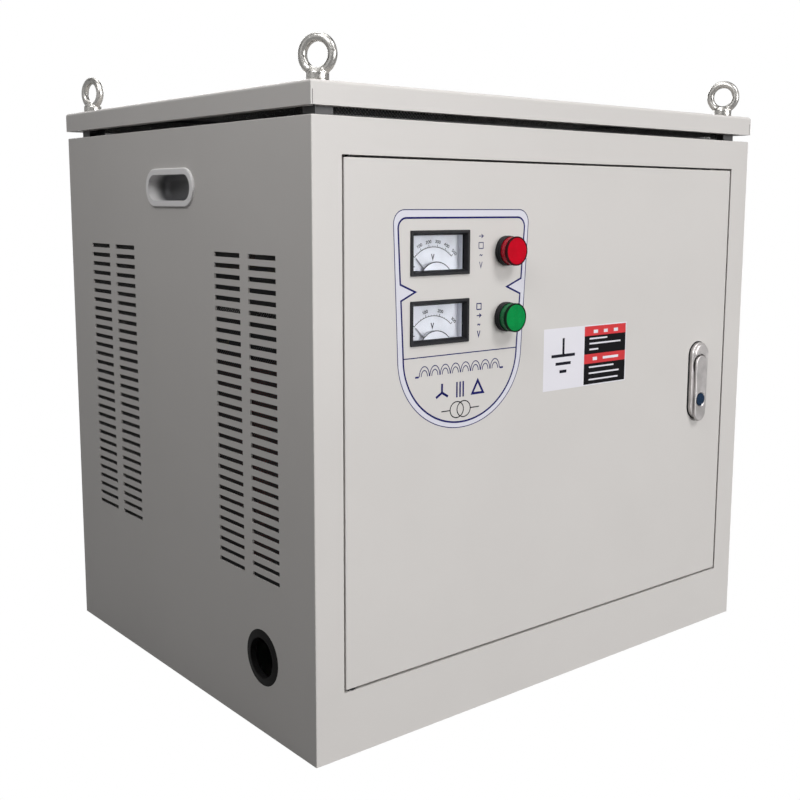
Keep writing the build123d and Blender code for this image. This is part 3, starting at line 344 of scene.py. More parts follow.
def piece(name, verts, faces, body, mat, slot):
    """New mesh piece that rides on a body; vertices in metres."""
    mesh = bpy.data.meshes.new(name)
    mesh.from_pydata(verts, [], faces)
    mesh.validate()
    work = bmesh.new()
    work.from_mesh(mesh)
    bmesh.ops.recalc_face_normals(work, faces=work.faces)
    work.to_mesh(mesh)
    work.free()
    mesh.materials.append(mat)
    obj = bpy.data.objects.new(name, mesh)
    bpy.context.scene.collection.objects.link(obj)
    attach(obj, body)
    return obj


def smooth(obj, angle=SMOOTH_ANGLE):
    """Smooth shading with edges sharper than the angle kept."""
    obj.data.set_sharp_from_angle(angle=angle)
    for face in obj.data.polygons:
        face.use_smooth = True
    return obj


def arc(middle, radii, start, end, steps):
    """Points of an elliptical arc, angles in degrees from +x towards +z."""
    turns = [radians(start + (end - start) * i / steps) for i in range(steps + 1)]
    return [(middle[0] + radii[0] * cos(a), middle[1] + radii[1] * sin(a)) for a in turns]


def prism(outlines, front, back):
    """Vertices and faces of flat plates: outlines in x and z, from front to back in y, all in metres."""
    verts, faces = [], []
    for outline in outlines:
        first, count = len(verts), len(outline)
        verts += [(x, front, z) for x, z in outline] + [(x, back, z) for x, z in outline]
        faces.append(tuple(range(first, first + count)))
        faces.append(tuple(range(first + 2 * count - 1, first + count - 1, -1)))
        for i in range(count):
            j = (i + 1) % count
            faces.append((first + j, first + i, first + count + i, first + count + j))
    return verts, faces


def line_quads(path, width, closed=False):
    """A drawn line as quads in x and z, mitred at its corners."""
    count = len(path)
    edges = []
    for i, point in enumerate(path):
        here = Vector(point)
        before = Vector(path[i - 1]) if closed or i else None
        after = Vector(path[(i + 1) % count]) if closed or i < count - 1 else None
        way_in = (here - before).normalized() if before is not None else (after - here).normalized()
        way_out = (after - here).normalized() if after is not None else way_in
        normal_in = Vector((-way_in.y, way_in.x))
        normal_out = Vector((-way_out.y, way_out.x))
        mitre = (normal_in + normal_out).normalized()
        reach = width / 2 / max(0.35, mitre.dot(normal_in))
        edges.append((here + mitre * reach, here - mitre * reach))
    last = count if closed else count - 1
    quads = []
    for i in range(last):
        j = (i + 1) % count
        quads.append([tuple(edges[i][0]), tuple(edges[j][0]), tuple(edges[j][1]), tuple(edges[i][1])])
    return quads


def ribbon(rows, front, back, closed=False):
    """Vertices and faces of a closed strip between pairs of points, from front to back in y."""
    verts, faces = [], []
    for outer, inner in rows:
        verts += [(outer[0], front, outer[1]), (inner[0], front, inner[1]),
                  (inner[0], back, inner[1]), (outer[0], back, outer[1])]
    count = len(rows)
    for i in range(count if closed else count - 1):
        a, b = 4 * i, 4 * ((i + 1) % count)
        for k in range(4):
            m = (k + 1) % 4
            faces.append((a + k, a + m, b + m, b + k))
    if not closed:
        faces.append((0, 1, 2, 3))
        end = 4 * (count - 1)
        faces.append((end + 3, end + 2, end + 1, end))
    return verts, faces


def band(path, width, front, back, closed=False):
    """Vertices and faces of one drawn line, as a single closed strip."""
    quads = line_quads(path, width, closed)
    rows = [(quad[0], quad[3]) for quad in quads]
    if not closed:
        rows.append((quads[-1][1], quads[-1][2]))
    return ribbon(rows, front, back, closed)


def joined(*shapes):
    """Several sets of vertices and faces as one."""
    verts, faces = [], []
    for some_verts, some_faces in shapes:
        first = len(verts)
        verts += some_verts
        faces += [tuple(first + i for i in face) for face in some_faces]
    return verts, faces


def on_door(points):
    """Points given in millimetres from the cabinet's left edge and the floor, in metres."""
    return [(cabinet_left + x * MM, z * MM) for x, z in points]


INK_FRONT = door_face - PRINT_PROUD * MM
INK_BACK = door_face + PRINT_SUNK * MM


def door_line(path, width, closed=False):
    """A line printed on the door, sizes in millimetres."""
    return band(on_door(path), width * MM, INK_FRONT, INK_BACK, closed)


# Strokes of each sign, one unit wide and 1.6 high
SIGNS = {
    "0": [[(0.0, 0.5), (0.0, 1.1), (0.25, 1.55), (0.75, 1.55), (1.0, 1.1), (1.0, 0.5), (0.75, 0.05), (0.25, 0.05),
           (0.0, 0.5)]],
    "1": [[(0.2, 1.2), (0.6, 1.6), (0.6, 0.0)]],
    "2": [[(0.05, 1.2), (0.3, 1.55), (0.75, 1.55), (0.95, 1.15), (0.0, 0.0), (1.0, 0.0)]],
    "3": [[(0.05, 1.35), (0.5, 1.6), (0.95, 1.2), (0.45, 0.85), (1.0, 0.45), (0.5, 0.0), (0.0, 0.3)]],
    "4": [[(0.75, 0.0), (0.75, 1.6), (0.0, 0.5), (1.0, 0.5)]],
    "5": [[(0.95, 1.6), (0.15, 1.6), (0.1, 0.9), (0.7, 0.95), (1.0, 0.5), (0.6, 0.0), (0.0, 0.15)]],
    "V": [[(0.0, 1.6), (0.5, 0.0), (1.0, 1.6)]],
    "~": [[(0.0, 0.6), (0.25, 0.95), (0.5, 0.8), (0.75, 0.65), (1.0, 1.0)]],
}


def signs(text, height, middle, turn=0.0):
    """Strokes of a short text, centred on a point and turned clockwise by an angle in degrees."""
    size = height / 1.6
    advance = 1.45 * size
    start = -(len(text) * advance - 0.45 * size) / 2
    c, d = cos(radians(turn)), sin(radians(turn))
    strokes = []
    for i, sign in enumerate(text):
        for stroke in SIGNS[sign]:
            flat = [(start + i * advance + x * size, z * size - height / 2) for x, z in stroke]
            strokes.append([(middle[0] + x * c + z * d, middle[1] - x * d + z * c) for x, z in flat])
    return strokes


# ---------------------------------------------------------------- print on the door


def badge_outline(sizes, notch_depth):
    """Outline of the badge: rounded top corners, leaning sides with a notch, half-oval foot."""
    top, radius = sizes["top"], sizes["radius"]

    def side(way, z):
        share = (z - BADGE_OVAL_START) / (top - BADGE_OVAL_START)
        middle = BADGE_LOW_MIDDLE + share * (BADGE_TOP_MIDDLE - BADGE_LOW_MIDDLE)
        return middle + way * (sizes["low_half"] + share * (sizes["top_half"] - sizes["low_half"]))

    def notch(way, steps):
        heights = [NOTCH_MIDDLE + step * NOTCH_HALF for step in steps]
        points = [(side(way, z), z) for z in heights]
        depth = notch_depth if way > 0 else notch_depth * NOTCH_LEFT_SHARE
        points[1] = (points[1][0] - way * depth, NOTCH_MIDDLE)
        return points

    corner = top - radius
    path = arc((side(1, corner) - radius, corner), (radius, radius), 0, 90, 8)
    path += arc((side(-1, corner) + radius, corner), (radius, radius), 90, 180, 8)
    path += notch(-1, (1, 0, -1))
    foot = (sizes["low_half"], BADGE_OVAL_START - sizes["bottom"])
    path += arc((BADGE_LOW_MIDDLE, BADGE_OVAL_START), foot, 180, 360, 64)
    return path + notch(1, (-1, 0, 1))


def door_badge():
    """Pale band between two navy borders, and the line that divides off the badge's foot."""
    outer = badge_outline(BADGE_OUTER, 0.0)
    inner = badge_outline(BADGE_INNER, NOTCH_DEPTH)
    left, right = BADGE_LOW_MIDDLE - BADGE_INNER["low_half"], BADGE_LOW_MIDDLE + BADGE_INNER["low_half"]
    rows = list(zip(on_door(outer), on_door(inner)))
    piece("badge_band", *ribbon(rows, door_face - 0.5 * PRINT_PROUD * MM, INK_BACK, closed=True), "door",
          PALE_INK, "cabinet_paint")
    shapes = [
        door_line(outer, BADGE_OUTER_LINE, closed=True),
        door_line(inner, BADGE_INNER_LINE, closed=True),
        door_line([(left, BADGE_OVAL_START), (right, BADGE_OVAL_START)], DIVIDER_LINE),
    ]
    piece("door_badge", *joined(*shapes), "door", NAVY_INK, "cabinet_paint")


SYMBOL_HEIGHT = 298.6
SYMBOL_CENTRES = (159.0, 167.5)
SYMBOL_RADII = (8.2, 7.5)
SYMBOL_ENDS = (140.3, 186.8)
SYMBOL_LINE = 1.0


def winding_symbol():
    """Two overlapping rings with a line out of each: the common sign for two windings."""
    shapes = []
    for x in SYMBOL_CENTRES:
        ring = arc((x, SYMBOL_HEIGHT), SYMBOL_RADII, 0, 360, 60)[:-1]
        shapes.append(door_line(ring, SYMBOL_LINE, closed=True))
    for end, centre, way in ((SYMBOL_ENDS[0], SYMBOL_CENTRES[0], -1), (SYMBOL_ENDS[1], SYMBOL_CENTRES[1], 1)):
        start = (centre + way * SYMBOL_RADII[0], SYMBOL_HEIGHT)
        shapes.append(door_line([start, (end, SYMBOL_HEIGHT)], SYMBOL_LINE))
    piece("winding_symbol", *joined(*shapes), "door", BLACK_INK, "cabinet_paint")


COIL_START = 113.5
COIL_FOOT = 333.0
COIL_TURNS = 8
COIL_TURN = 12.4
COIL_LINE = 0.85
CONNECTION_HEIGHT = 317.2
CONNECTION_HALF = 7.2
CONNECTION_LINE = 2.3


def coil_symbol():
    """Row of drawn turns in a double line, the sign for a winding, below the dividing line."""
    shapes = []
    for i in range(COIL_TURNS):
        middle = (COIL_START + (i + 0.5) * COIL_TURN, COIL_FOOT)
        for radius in (COIL_TURN / 2 - 0.35, COIL_TURN / 2 - 2.6):
            shapes.append(door_line(arc(middle, (radius, radius * 1.55), 180, 0, 24), COIL_LINE))
    for start, way in ((COIL_START, -1), (COIL_START + COIL_TURNS * COIL_TURN, 1)):
        lead = [(start + 0.2 * way, COIL_FOOT), (start + 4.5 * way, COIL_FOOT)]
        shapes.append(door_line(lead, 2 * COIL_LINE))
    piece("coil_symbol", *joined(*shapes), "door", NAVY_INK, "cabinet_paint")


def connection_signs():
    """Star, core and delta: the drawn signs for how three windings are joined."""
    half, height = CONNECTION_HALF, CONNECTION_HEIGHT
    middle = BADGE_LOW_MIDDLE - 2.0
    shapes = []
    star = (middle - 22.0, height - 1.0)
    for angle in (90, 210, 330):
        tip = (star[0] + 1.15 * half * cos(radians(angle)), star[1] + 1.15 * half * sin(radians(angle)))
        shapes.append(door_line([star, tip], CONNECTION_LINE))
    for step in (-1, 0, 1):
        x = middle + step * 3.9
        shapes.append(door_line([(x, height - half), (x, height + half)], CONNECTION_LINE * 0.8))
    delta = arc((middle + 22.0, height - 1.6), (1.1 * half, 1.1 * half), 90, 450, 3)[:-1]
    shapes.append(door_line(delta, CONNECTION_LINE, closed=True))
    piece("connection_signs", *joined(*shapes), "door", NAVY_INK, "cabinet_paint")


LABEL_SIGN = 5.4


def terminal_labels():
    """Column of small signs beside each meter: which way the power goes, alternating, in volts."""
    half = LABEL_SIGN / 2
    arrow = [[(-half, 0.0), (half, 0.0)], [(0.4, 1.7), (half, 0.0), (0.4, -1.7)]]
    box = [[(-half, -half), (half, -half), (half, half), (-half, half), (-half, -half)]]
    for name, x, places, order, line in (
        ("upper", 186.9, (457.0, 448.4, 439.6, 430.8), ("arrow", "box"), 0.75),
        ("lower", 185.2, (392.4, 384.0, 375.6, 367.2), ("box", "arrow"), 1.0),
    ):
        shapes = []
        for place, sign in zip(places, order):
            for path in {"arrow": arrow, "box": box}[sign]:
                shapes.append(door_line([(x + u, place + v) for u, v in path], line))
        for place, sign in zip(places[2:], ("~", "V")):
            for path in signs(sign, LABEL_SIGN, (x, place)):
                shapes.append(door_line(path, line))
        piece(f"terminal_label_{name}", *joined(*shapes), "door", NAVY_INK, "cabinet_paint")


door_badge()
winding_symbol()
coil_symbol()
connection_signs()
terminal_labels()

# Plain sticker: a white field and a banded one, in millimetres from the cabinet's left edge
STICKER_LEFT = 272.3
STICKER_SPLIT = 330.3
STICKER_RIGHT = 396.0
STICKER_BOTTOM = 302.9
STICKER_TOP = 364.8
STICKER_BORDER = 1.1
STICKER_BANDS = (("red", 1.0, 0.835), ("black", 0.835, 0.522), ("red", 0.522, 0.357), ("black", 0.357, 0.0))
STICKER_PROUD = 0.1
STICKER_INK = 0.04
EARTH_PLACE = (300.5, 337.0)
EARTH_BARS = ((0.0, 17.0), (-8.0, 11.0), (-16.0, 5.0))
EARTH_STEM = 17.5
EARTH_LINE = 3.0
# Blank rules: height above the floor, start, end and half thickness
STICKER_RULES = (
    (357.9, 345.0, 351.5, 1.7), (357.9, 360.5, 366.5, 1.7), (357.9, 376.0, 382.5, 1.7),
    (350.9, 339.0, 366.0, 0.8), (345.8, 339.0, 387.0, 0.8), (339.8, 339.0, 352.5, 0.8),
    (330.0, 344.5, 351.0, 1.7), (330.0, 360.0, 384.0, 1.3),
    (321.6, 339.0, 377.0, 0.8), (315.3, 339.0, 385.5, 0.8), (308.7, 339.0, 384.0, 0.8),
)


def sticker():
    """White field with the earth sign, and a banded red and black field with blank rules beside it."""
    def field(left, right, low, high):
        return on_door([(left, low), (right, low), (right, high), (left, high)])
    face = door_face - STICKER_PROUD * MM
    white = [field(STICKER_LEFT, STICKER_RIGHT, STICKER_BOTTOM, STICKER_TOP)]
    piece("sticker_white", *prism(white, face, INK_BACK), "door", WHITE_LABEL, "cabinet_paint")
    left, right = STICKER_SPLIT + STICKER_BORDER, STICKER_RIGHT - STICKER_BORDER
    low, high = STICKER_BOTTOM + STICKER_BORDER, STICKER_TOP - STICKER_BORDER
    front = face - STICKER_INK * MM
    for name, mat in (("red", RED_LABEL), ("black", BLACK_LABEL)):
        bands = [field(left, right, low + bottom * (high - low), low + top * (high - low))
                 for colour, top, bottom in STICKER_BANDS if colour == name]
        piece(f"sticker_{name}", *prism(bands, front, face), "door", mat, "cabinet_paint")
    x, z = EARTH_PLACE
    lines = [[(x, z), (x, z + EARTH_STEM)]]
    lines += [[(x - half, z + rise), (x + half, z + rise)] for rise, half in EARTH_BARS]
    sign = [band(on_door(line), EARTH_LINE * MM, front, face) for line in lines]
    piece("sticker_earth_sign", *joined(*sign), "door", BLACK_INK, "cabinet_paint")
    rules = [field(start, end, z - half, z + half) for z, start, end, half in STICKER_RULES]
    piece("sticker_rules", *prism(rules, front - STICKER_INK * MM, front), "door", WHITE_LABEL, "cabinet_paint")


sticker()

# ---------------------------------------------------------------- wire mesh behind the slots and under the lid

WIRE = 0.35
WIRE_SPACING = 2.5


def diagonal_wires(low, high, depth, axis):
    """Two crossed layers of wires at 45 degrees in a rectangle, sizes in metres.

    low and high are corners across and up; depth is where the layers meet on the axis, x or y."""
    shapes = []
    step = WIRE_SPACING * MM * 2 ** 0.5
    width, height = high[0] - low[0], high[1] - low[1]
    half = WIRE * MM / 2
    reach = half * 2 ** 0.5
    for layer, way in ((-1, 1), (1, -1)):
        near, far = sorted((depth, depth + layer * WIRE * MM))
        for i in range(1, int((width + height) / step) + 1):
            start = i * step
            u0, v0 = (0.0, start) if start < height else (start - height, height)
            u1, v1 = (start, 0.0) if start < width else (width, start - width)
            if way < 0:
                u0, u1 = width - u0, width - u1
            corners = []
            for u, v, side in ((u0, v0, 1), (u1, v1, 1), (u1, v1, -1), (u0, v0, -1)):
                across = low[0] + u + side * reach / 2 * way
                up = low[1] + v + side * reach / 2
                corners.append((across, up))
            verts = []
            for place in (near, far):
                for across, up in corners:
                    verts.append((place, across, up) if axis == "x" else (across, place, up))
            faces = [(0, 1, 2, 3), (7, 6, 5, 4), (0, 4, 5, 1), (1, 5, 6, 2), (2, 6, 7, 3), (3, 7, 4, 0)]
            shapes.append((verts, faces))
    return shapes


def plate(low, high):
    """Vertices and faces of a flat bar between two corners."""
    verts = [(x, y, z) for x in (low[0], high[0]) for y in (low[1], high[1]) for z in (low[2], high[2])]
    faces = [(0, 1, 3, 2), (4, 6, 7, 5), (0, 4, 5, 1), (2, 3, 7, 6), (0, 2, 6, 4), (1, 5, 7, 3)]
    return verts, faces


SCREEN_HEM = 3.0


def screen_fields(node):
    """Boxes of a node's separate flat solids, found from its loose parts."""
    mesh = frame["nodes"][node].data
    work = bmesh.new()
    work.from_mesh(mesh)
    bmesh.ops.remove_doubles(work, verts=work.verts, dist=1e-6)
    boxes, seen = [], set()
    for vert in work.verts:
        if vert in seen:
            continue
        stack, group = [vert], []
        seen.add(vert)
        while stack:
            here = stack.pop()
            group.append(here.co.copy())
            for edge in here.link_edges:
                other = edge.other_vert(here)
                if other not in seen:
                    seen.add(other)
                    stack.append(other)
        boxes.append([tuple(f(c[i] for c in group) for i in range(3)) for f in (min, max)])
    work.free()
    return boxes


def woven_screen(node, name):
    """Wire mesh with a flat hem in place of each plain sheet of a node."""
    shapes = []
    hem = SCREEN_HEM * MM
    for low, high in screen_fields(node):
        flat = "x" if high[0] - low[0] < high[1] - low[1] else "y"
        a, b = (1, 0) if flat == "x" else (0, 1)
        middle = (low[b] + high[b]) / 2
        shapes += diagonal_wires((low[a], low[2]), (high[a], high[2]), middle, flat)
        hems = (
            ((low[a], low[2]), (high[a], low[2] + hem)),
            ((low[a], high[2] - hem), (high[a], high[2])),
            ((low[a], low[2] + hem), (low[a] + hem, high[2] - hem)),
            ((high[a] - hem, low[2] + hem), (high[a], high[2] - hem)),
        )
        for first, last in hems:
            corner_low, corner_high = [0.0] * 3, [0.0] * 3
            corner_low[a], corner_high[a] = first[0], last[0]
            corner_low[2], corner_high[2] = first[1], last[1]
            corner_low[b], corner_high[b] = middle - 0.5 * MM, middle + 0.5 * MM
            shapes.append(plate(corner_low, corner_high))
    obj = piece(name, *joined(*shapes), "cabinet", MATERIALS["mesh"], "mesh")
    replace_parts(obj, node)


woven_screen("louvre_screens_left", "louvre_mesh_left")
woven_screen("louvre_screens_right", "louvre_mesh_right")
woven_screen("vent_screens", "vent_mesh")

# ---------------------------------------------------------------- lamp lenses

LENS_RIBS = 44
LENS_RIB_DEPTH = 0.28
# Half sections of the lens: radius and distance out from the door, in millimetres; True where it is ribbed
LENS_SIDE = (
    (13.2, 4.5, False), (13.2, 5.3, False), (13.05, 5.5, True), (13.05, 10.9, True), (13.2, 11.1, False),
    (13.2, 11.7, False), (12.4, 11.9, False), (11.9, 11.9, False), (11.8, 4.5, False),
)
LENS_SEAM = ((12.75, 11.7, False), (12.75, 12.9, False), (12.0, 12.9, False), (12.0, 11.7, False))
LENS_COLLAR = ((13.2, 4.5, False), (13.7, 4.5, False), (13.7, 6.3, False), (13.2, 6.3, False))
LENS_RIM = (
    (12.3, 12.7, False), (13.3, 12.7, False), (13.6, 12.9, False), (13.6, 14.5, False), (13.4, 14.75, False),
    (12.3, 14.75, False),
)
LENS_FACE = (
    (12.3, 12.7, False), (12.3, 14.45, False), (12.0, 14.7, False), (6.0, 14.78, False), (0.0, 14.8, False),
    (0.0, 12.7, False),
)


def turned(name, section, x, z, mat, slot):
    """Closed ring or disc on the door, turned about an axis along y through x and z."""
    steps = 4 * LENS_RIBS
    verts, faces, rings = [], [], []
    for radius, out, ribbed in section:
        ring = []
        for i in range(1 if radius == 0 else steps):
            turn = 2 * pi * i / steps
            rib = LENS_RIB_DEPTH * (cos(LENS_RIBS * turn) - 1) / 2 if ribbed else 0.0
            r = (radius + rib) * MM
            ring.append(len(verts))
            verts.append((x + r * cos(turn), door_face - out * MM, z + r * sin(turn)))
        rings.append(ring)
    for first, second in zip(rings, rings[1:] + rings[:1]):
        if len(first) == 1 and len(second) == 1:
            continue
        for i in range(steps):
            j = (i + 1) % steps
            if len(first) == 1:
                faces.append((first[0], second[i], second[j]))
            elif len(second) == 1:
                faces.append((first[i], second[0], first[j]))
            else:
                faces.append((first[i], second[i], second[j], first[j]))
    return smooth(piece(name, verts, faces, "door", mat, slot))


def lamp_lens(colour):
    """Lens cap: a ribbed side, a dark seam, a dark rim round a flat face, and a black collar at its foot."""
    node = f"lamp_lens_{colour}"
    low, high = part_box(node)
    x, z = (low.x + high.x) / 2, (low.z + high.z) / 2
    slot = f"lens_{colour}"
    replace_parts(turned(f"lens_face_{colour}", LENS_FACE, x, z, MATERIALS[slot], slot), node)
    turned(f"lens_side_{colour}", LENS_SIDE, x, z, LENS_SIDES[colour], slot)
    turned(f"lens_rim_{colour}", LENS_RIM, x, z, LENS_RIMS[colour], slot)
    turned(f"lens_collar_{colour}", LENS_COLLAR, x, z, MATERIALS["black_plastic"], "black_plastic")
    turned(f"lens_seam_{colour}", LENS_SEAM, x, z, LENS_SEAMS[colour], slot)


lamp_lens("red")
lamp_lens("green")

# ---------------------------------------------------------------- seal round the lock, with painted contact shade

SEAL_WIDTH = 0.9
SEAL_PROUD = 1.0


def stadium(middle, half_width, half_height, steps=24):
    """Outline with straight sides and round ends, taller than it is wide, in metres."""
    straight = half_height - half_width
    path = arc((middle[0], middle[1] + straight), (half_width, half_width), 0, 180, steps)
    return path + arc((middle[0], middle[1] - straight), (half_width, half_width), 180, 360, steps)


def lock_seal_and_shade():
    """Black seal round the lock's foot; its thin dark edge between the lock and the door is also painted contact
    shade.
    """
    low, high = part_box("lock_body")
    middle = ((low.x + high.x) / 2, (low.z + high.z) / 2)
    half_width, half_height = (high.x - low.x) / 2, (high.z - low.z) / 2
    grow = SEAL_WIDTH * MM
    outer = stadium(middle, half_width + grow, half_height + grow)
    rows = list(zip(outer, stadium(middle, half_width, half_height)))
    piece("lock_seal_and_shade", *ribbon(rows, door_face - SEAL_PROUD * MM, INK_BACK, closed=True), "door",
          MATERIALS["black_plastic"], "black_plastic")


lock_seal_and_shade()

# ---------------------------------------------------------------- painted shade of the slits at the lid's corners

SLIT_INSET = 1.6
SLIT_WIDTH = 0.45
SLIT_FOOT = 0.4
SLIT_HEAD = 8.0
SLIT_PROUD = 0.05
SLIT_SUNK = 0.3


def lid_corner_slit_shade():
    """Thin dark strips of painted shade where the lid's folded skirts meet, for the slits there, one near each end
    of the front and rear skirts.
    """
    low, high = lid_low.z + SLIT_FOOT * MM, lid_high.z - SLIT_HEAD * MM
    shapes = []
    for skin, into in ((lid_low.y, 1.0), (lid_high.y, -1.0)):
        for edge, inward in ((lid_low.x, 1.0), (lid_high.x, -1.0)):
            near, far = edge + inward * SLIT_INSET * MM, edge + inward * (SLIT_INSET + SLIT_WIDTH) * MM
            outline = [(near, low), (far, low), (far, high), (near, high)]
            shapes.append(prism([outline], skin - into * SLIT_PROUD * MM, skin + into * SLIT_SUNK * MM))
    piece("lid_corner_slit_shade", *joined(*shapes), "cabinet", MATERIALS["black_plastic"], "black_plastic")


lid_corner_slit_shade()

# ---------------------------------------------------------------- meter scales

SCALE_SWING = 44.0
SCALE_RADIUS = 31.3
SCALE_LINE = 0.6
TICK_LONG = 2.4
TICK_SHORT = 1.2
NUMBER_HEIGHT = 2.5
NUMBER_LINE = 0.55
NUMBER_GAP = 2.5
UNIT_PLACE = (-0.4, 22.6)
UNIT_HEIGHT = 4.8
UNIT_LINE = 1.0
WINDOW_RISE = 11.0
COVER_HALF = 15.5
COVER_HEIGHT = 7.0
COVER_SHADOW_LINE = 0.8
PLATE_THICKNESS = 1.0


def meter_scale(name, numbers):
    """Arc, ticks, numbers and unit on the dial plate, and the cover over the needle's hub with a dark line of
    painted shadow round it.
    """
    pivot_x, _, pivot_z = joints[f"needle_{name}_swing"]["pos_m"]
    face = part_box(f"meter_dial_{name}")[1].y - PLATE_THICKNESS * MM
    shapes = []

    def stroke(path, width, front=face - 0.04 * MM, back=face + 0.02 * MM):
        points = [(pivot_x + x * MM, pivot_z + z * MM) for x, z in path]
        shapes.append(band(points, width * MM, front, back))

    def out_at(angle, radius):
        return radius * sin(radians(angle)), radius * cos(radians(angle))

    stroke(arc((0, 0), (SCALE_RADIUS, SCALE_RADIUS), 90 + SCALE_SWING, 90 - SCALE_SWING, 44), SCALE_LINE)
    count = len(numbers) - 1
    for i in range(5 * count + 1):
        angle = SCALE_SWING * (2 * i / (5 * count) - 1)
        long = i % 5 == 0
        end = SCALE_RADIUS + (TICK_LONG if long else TICK_SHORT)
        stroke([out_at(angle, SCALE_RADIUS), out_at(angle, end)], SCALE_LINE if long else SCALE_LINE / 2)
        if long:
            place = out_at(angle, end + NUMBER_GAP)
            for path in signs(numbers[i // 5], NUMBER_HEIGHT, place, angle):
                stroke(path, NUMBER_LINE)
    for path in signs("V", UNIT_HEIGHT, UNIT_PLACE):
        stroke(path, UNIT_LINE)
    for path in signs("~", 2.6, (-22.0, WINDOW_RISE + 3.2)):
        stroke(path, NUMBER_LINE)
    piece(f"scale_print_{name}", *joined(*shapes), "door", BLACK_INK, "needle_paint")

    radius = (COVER_HALF ** 2 + COVER_HEIGHT ** 2) / (2 * COVER_HEIGHT)
    half_turn = asin(COVER_HALF / radius) * 180 / pi
    middle = (0.0, WINDOW_RISE + COVER_HEIGHT - radius)
    bow = arc(middle, (radius, radius), 90 - half_turn, 90 + half_turn, 24)
    outline = [(pivot_x + x * MM, pivot_z + z * MM) for x, z in bow]
    front = face - 4.7 * MM
    piece(f"hub_cover_{name}", *prism([outline], front, front + 1.0 * MM), "door", MATERIALS["dial_white"],
          "dial_white")
    # Painted shadow: a dark band round the cover's edge, for the shade of the gap round the cover.
    shapes.clear()
    stroke(bow, COVER_SHADOW_LINE, front - 0.05 * MM, front + 0.4 * MM)
    piece(f"hub_cover_shadow_{name}", *joined(*shapes), "door", BLACK_INK, "needle_paint")


meter_scale("upper", ("0", "100", "200", "300", "400", "500"))
meter_scale("lower", ("0", "100", "200", "300"))

# ---------------------------------------------------------------- forged eyebolts

FORGING_VOXEL = 0.55
FORGING_SWELL = 0.16


def forged_eyebolts():
    """The eyebolts with the soft fillets and slight unevenness of a drop forging."""
    source = frame["nodes"]["eyebolts"]
    work = bpy.data.objects.new("eyebolt_work", source.data.copy())
    bpy.context.scene.collection.objects.link(work)
    remesh = work.modifiers.new("remesh", "REMESH")
    remesh.mode, remesh.voxel_size = "VOXEL", FORGING_VOXEL * MM
    soften = work.modifiers.new("soften", "SMOOTH")
    soften.factor, soften.iterations = 0.5, 9
    bpy.context.view_layer.update()
    shape = work.evaluated_get(bpy.context.evaluated_depsgraph_get())
    mesh = bpy.data.meshes.new_from_object(shape)
    bpy.data.objects.remove(work)
    normals = [vert.normal.copy() for vert in mesh.vertices]
    for vert, normal in zip(mesh.vertices, normals):
        swell = noise_value(vert.co * 140) + 0.4 * noise_value(vert.co * 520)
        vert.co += normal * (FORGING_SWELL * swell * MM)
    mesh.materials.clear()
    mesh.materials.append(MATERIALS["zinc"])
    bolts = bpy.data.objects.new("forged_eyebolts", mesh)
    bpy.context.scene.collection.objects.link(bolts)
    for face in mesh.polygons:
        face.use_smooth = True
    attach(bolts, "cabinet")
    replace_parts(bolts, "eyebolts")


forged_eyebolts()

# ---------------------------------------------------------------- stage, lights and camera


FLOOR_HALF = 9.0
FLOOR_GREY = (0.12, 0.12, 0.12, 1.0)
WHITE = (1.0, 1.0, 1.0, 1.0)


def stage_floor():
    """Floor that is plain white to the camera, with no shadow in view, and grey as light on the object."""
    half = FLOOR_HALF
    mesh = bpy.data.meshes.new("floor")
    corners = [(-half, -half, 0), (half, -half, 0), (half, half, 0), (-half, half, 0)]
    mesh.from_pydata(corners, [], [(0, 1, 2, 3)])
    floor = bpy.data.objects.new("floor", mesh)
    bpy.context.scene.collection.objects.link(floor)
    mat = bpy.data.materials.new("floor")
    mat.use_nodes = True
    nodes, links = mat.node_tree.nodes, mat.node_tree.links
    nodes.clear()
    out = nodes.new("ShaderNodeOutputMaterial")
    diffuse = nodes.new("ShaderNodeBsdfDiffuse")
    diffuse.inputs["Color"].default_value = FLOOR_GREY
    glow = nodes.new("ShaderNodeEmission")
    glow.inputs["Color"].default_value = WHITE
    share = seen_directly(nodes, links, 1.0)
    mix = nodes.new("ShaderNodeMixShader")
    links.new(share, mix.inputs["Fac"])
    links.new(diffuse.outputs[0], mix.inputs[1])
    links.new(glow.outputs[0], mix.inputs[2])
    links.new(mix.outputs[0], out.inputs["Surface"])
    mesh.materials.append(mat)


MIRRORED = 0.42


def seen_directly(nodes, links, most, mirrored=MIRRORED):
    """Value that is most where the camera looks, less in reflections and 0 as light on the object."""
    path = nodes.new("ShaderNodeLightPath")
    camera = calculate(nodes, links, "MULTIPLY", path.outputs["Is Camera Ray"], most)
    glossy = calculate(nodes, links, "MULTIPLY", path.outputs["Is Glossy Ray"], mirrored)
    return calculate(nodes, links, "MAXIMUM", camera, glossy)


AMBIENT = 0.016
ROOM_SCALE = 2.4


def white_world():
    """White where it is seen, dimmer as light on the object, patchy in its reflections."""
    world = bpy.data.worlds.new("studio")
    bpy.context.scene.world = world
    world.use_nodes = True
    nodes, links = world.node_tree.nodes, world.node_tree.links
    background = nodes["Background"]
    background.inputs["Color"].default_value = WHITE
    direction = nodes.new("ShaderNodeTexCoord")
    room = nodes.new("ShaderNodeTexNoise")
    room.inputs["Scale"].default_value = ROOM_SCALE
    room.inputs["Detail"].default_value = 1.0
    links.new(direction.outputs["Generated"], room.inputs["Vector"])
    patches = nodes.new("ShaderNodeMapRange")
    for socket, value in (("From Min", 0.4), ("From Max", 0.6), ("To Min", 0.05), ("To Max", 2 * MIRRORED)):
        patches.inputs[socket].default_value = value
    links.new(room.outputs["Fac"], patches.inputs["Value"])
    seen = seen_directly(nodes, links, 1.0 - AMBIENT, patches.outputs["Result"])
    links.new(calculate(nodes, links, "ADD", seen, AMBIENT), background.inputs["Strength"])


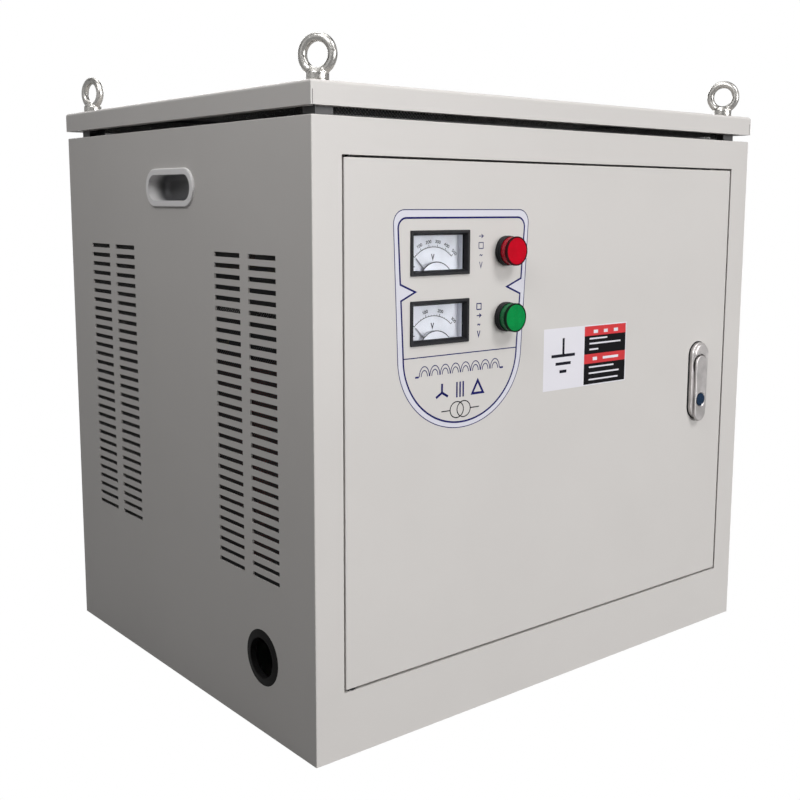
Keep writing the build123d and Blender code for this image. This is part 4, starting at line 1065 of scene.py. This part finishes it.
# Name, place, width, height and power of each lamp
LIGHT_TARGET = (0.0, 0.0, 0.3)
SOFTBOXES = (
    ("key_light", (1.2, -5.0, 0.85), 2.6, 1.6, 146.0),
    ("front_top_light", (1.0, -4.6, 5.2), 2.2, 2.2, 212.0),
    ("side_light", (-1.1, -0.5, 1.42), 0.7, 0.7, 9.4),
    ("top_light", (0.0, 0.5, 2.6), 1.4, 1.4, 20.0),
    ("rear_light", (1.7, 3.4, 1.7), 1.8, 1.8, 60.0),
)


def softbox(name, place, width, height, power):
    """Rectangular studio lamp aimed at the cabinet's middle."""
    data = bpy.data.lights.new(name, "AREA")
    data.shape = "RECTANGLE"
    data.size, data.size_y, data.energy = width, height, power
    lamp = bpy.data.objects.new(name, data)
    lamp.location = place
    lamp.rotation_euler = (Vector(LIGHT_TARGET) - Vector(place)).to_track_quat("-Z", "Y").to_euler()
    bpy.context.scene.collection.objects.link(lamp)


CAMERA_PLACE = Vector((-0.8122, -0.9930, 0.4866))
CAMERA_AZIMUTH = -39.515
CAMERA_ELEVATION = 8.186
CAMERA_ROLL = 0.246
CAMERA_LENS = 49.95
CAMERA_SHIFT = (-0.0161, -0.0465)


def photo_camera():
    """Camera at the photograph's place, direction and framing."""
    data = bpy.data.cameras.new("camera")
    data.lens, data.sensor_width = CAMERA_LENS, 36.0
    data.shift_x, data.shift_y = CAMERA_SHIFT
    data.clip_start, data.clip_end = 0.05, 50.0
    camera = bpy.data.objects.new("camera", data)
    azimuth, elevation, roll = map(radians, (CAMERA_AZIMUTH, CAMERA_ELEVATION, CAMERA_ROLL))
    ahead = Vector((-sin(azimuth) * cos(elevation), cos(azimuth) * cos(elevation), -sin(elevation)))
    level = Vector((cos(azimuth), sin(azimuth), 0.0))
    up = level.cross(ahead)
    right = level * cos(roll) + up * sin(roll)
    top = up * cos(roll) - level * sin(roll)
    camera.matrix_world = Matrix.Translation(CAMERA_PLACE) @ Matrix((right, top, -ahead)).transposed().to_4x4()
    bpy.context.scene.collection.objects.link(camera)
    bpy.context.scene.camera = camera


stage_floor()
white_world()
photo_camera()
for name, *settings in SOFTBOXES:
    softbox(name, *settings)
bpy.context.scene.view_settings.view_transform = "Standard"
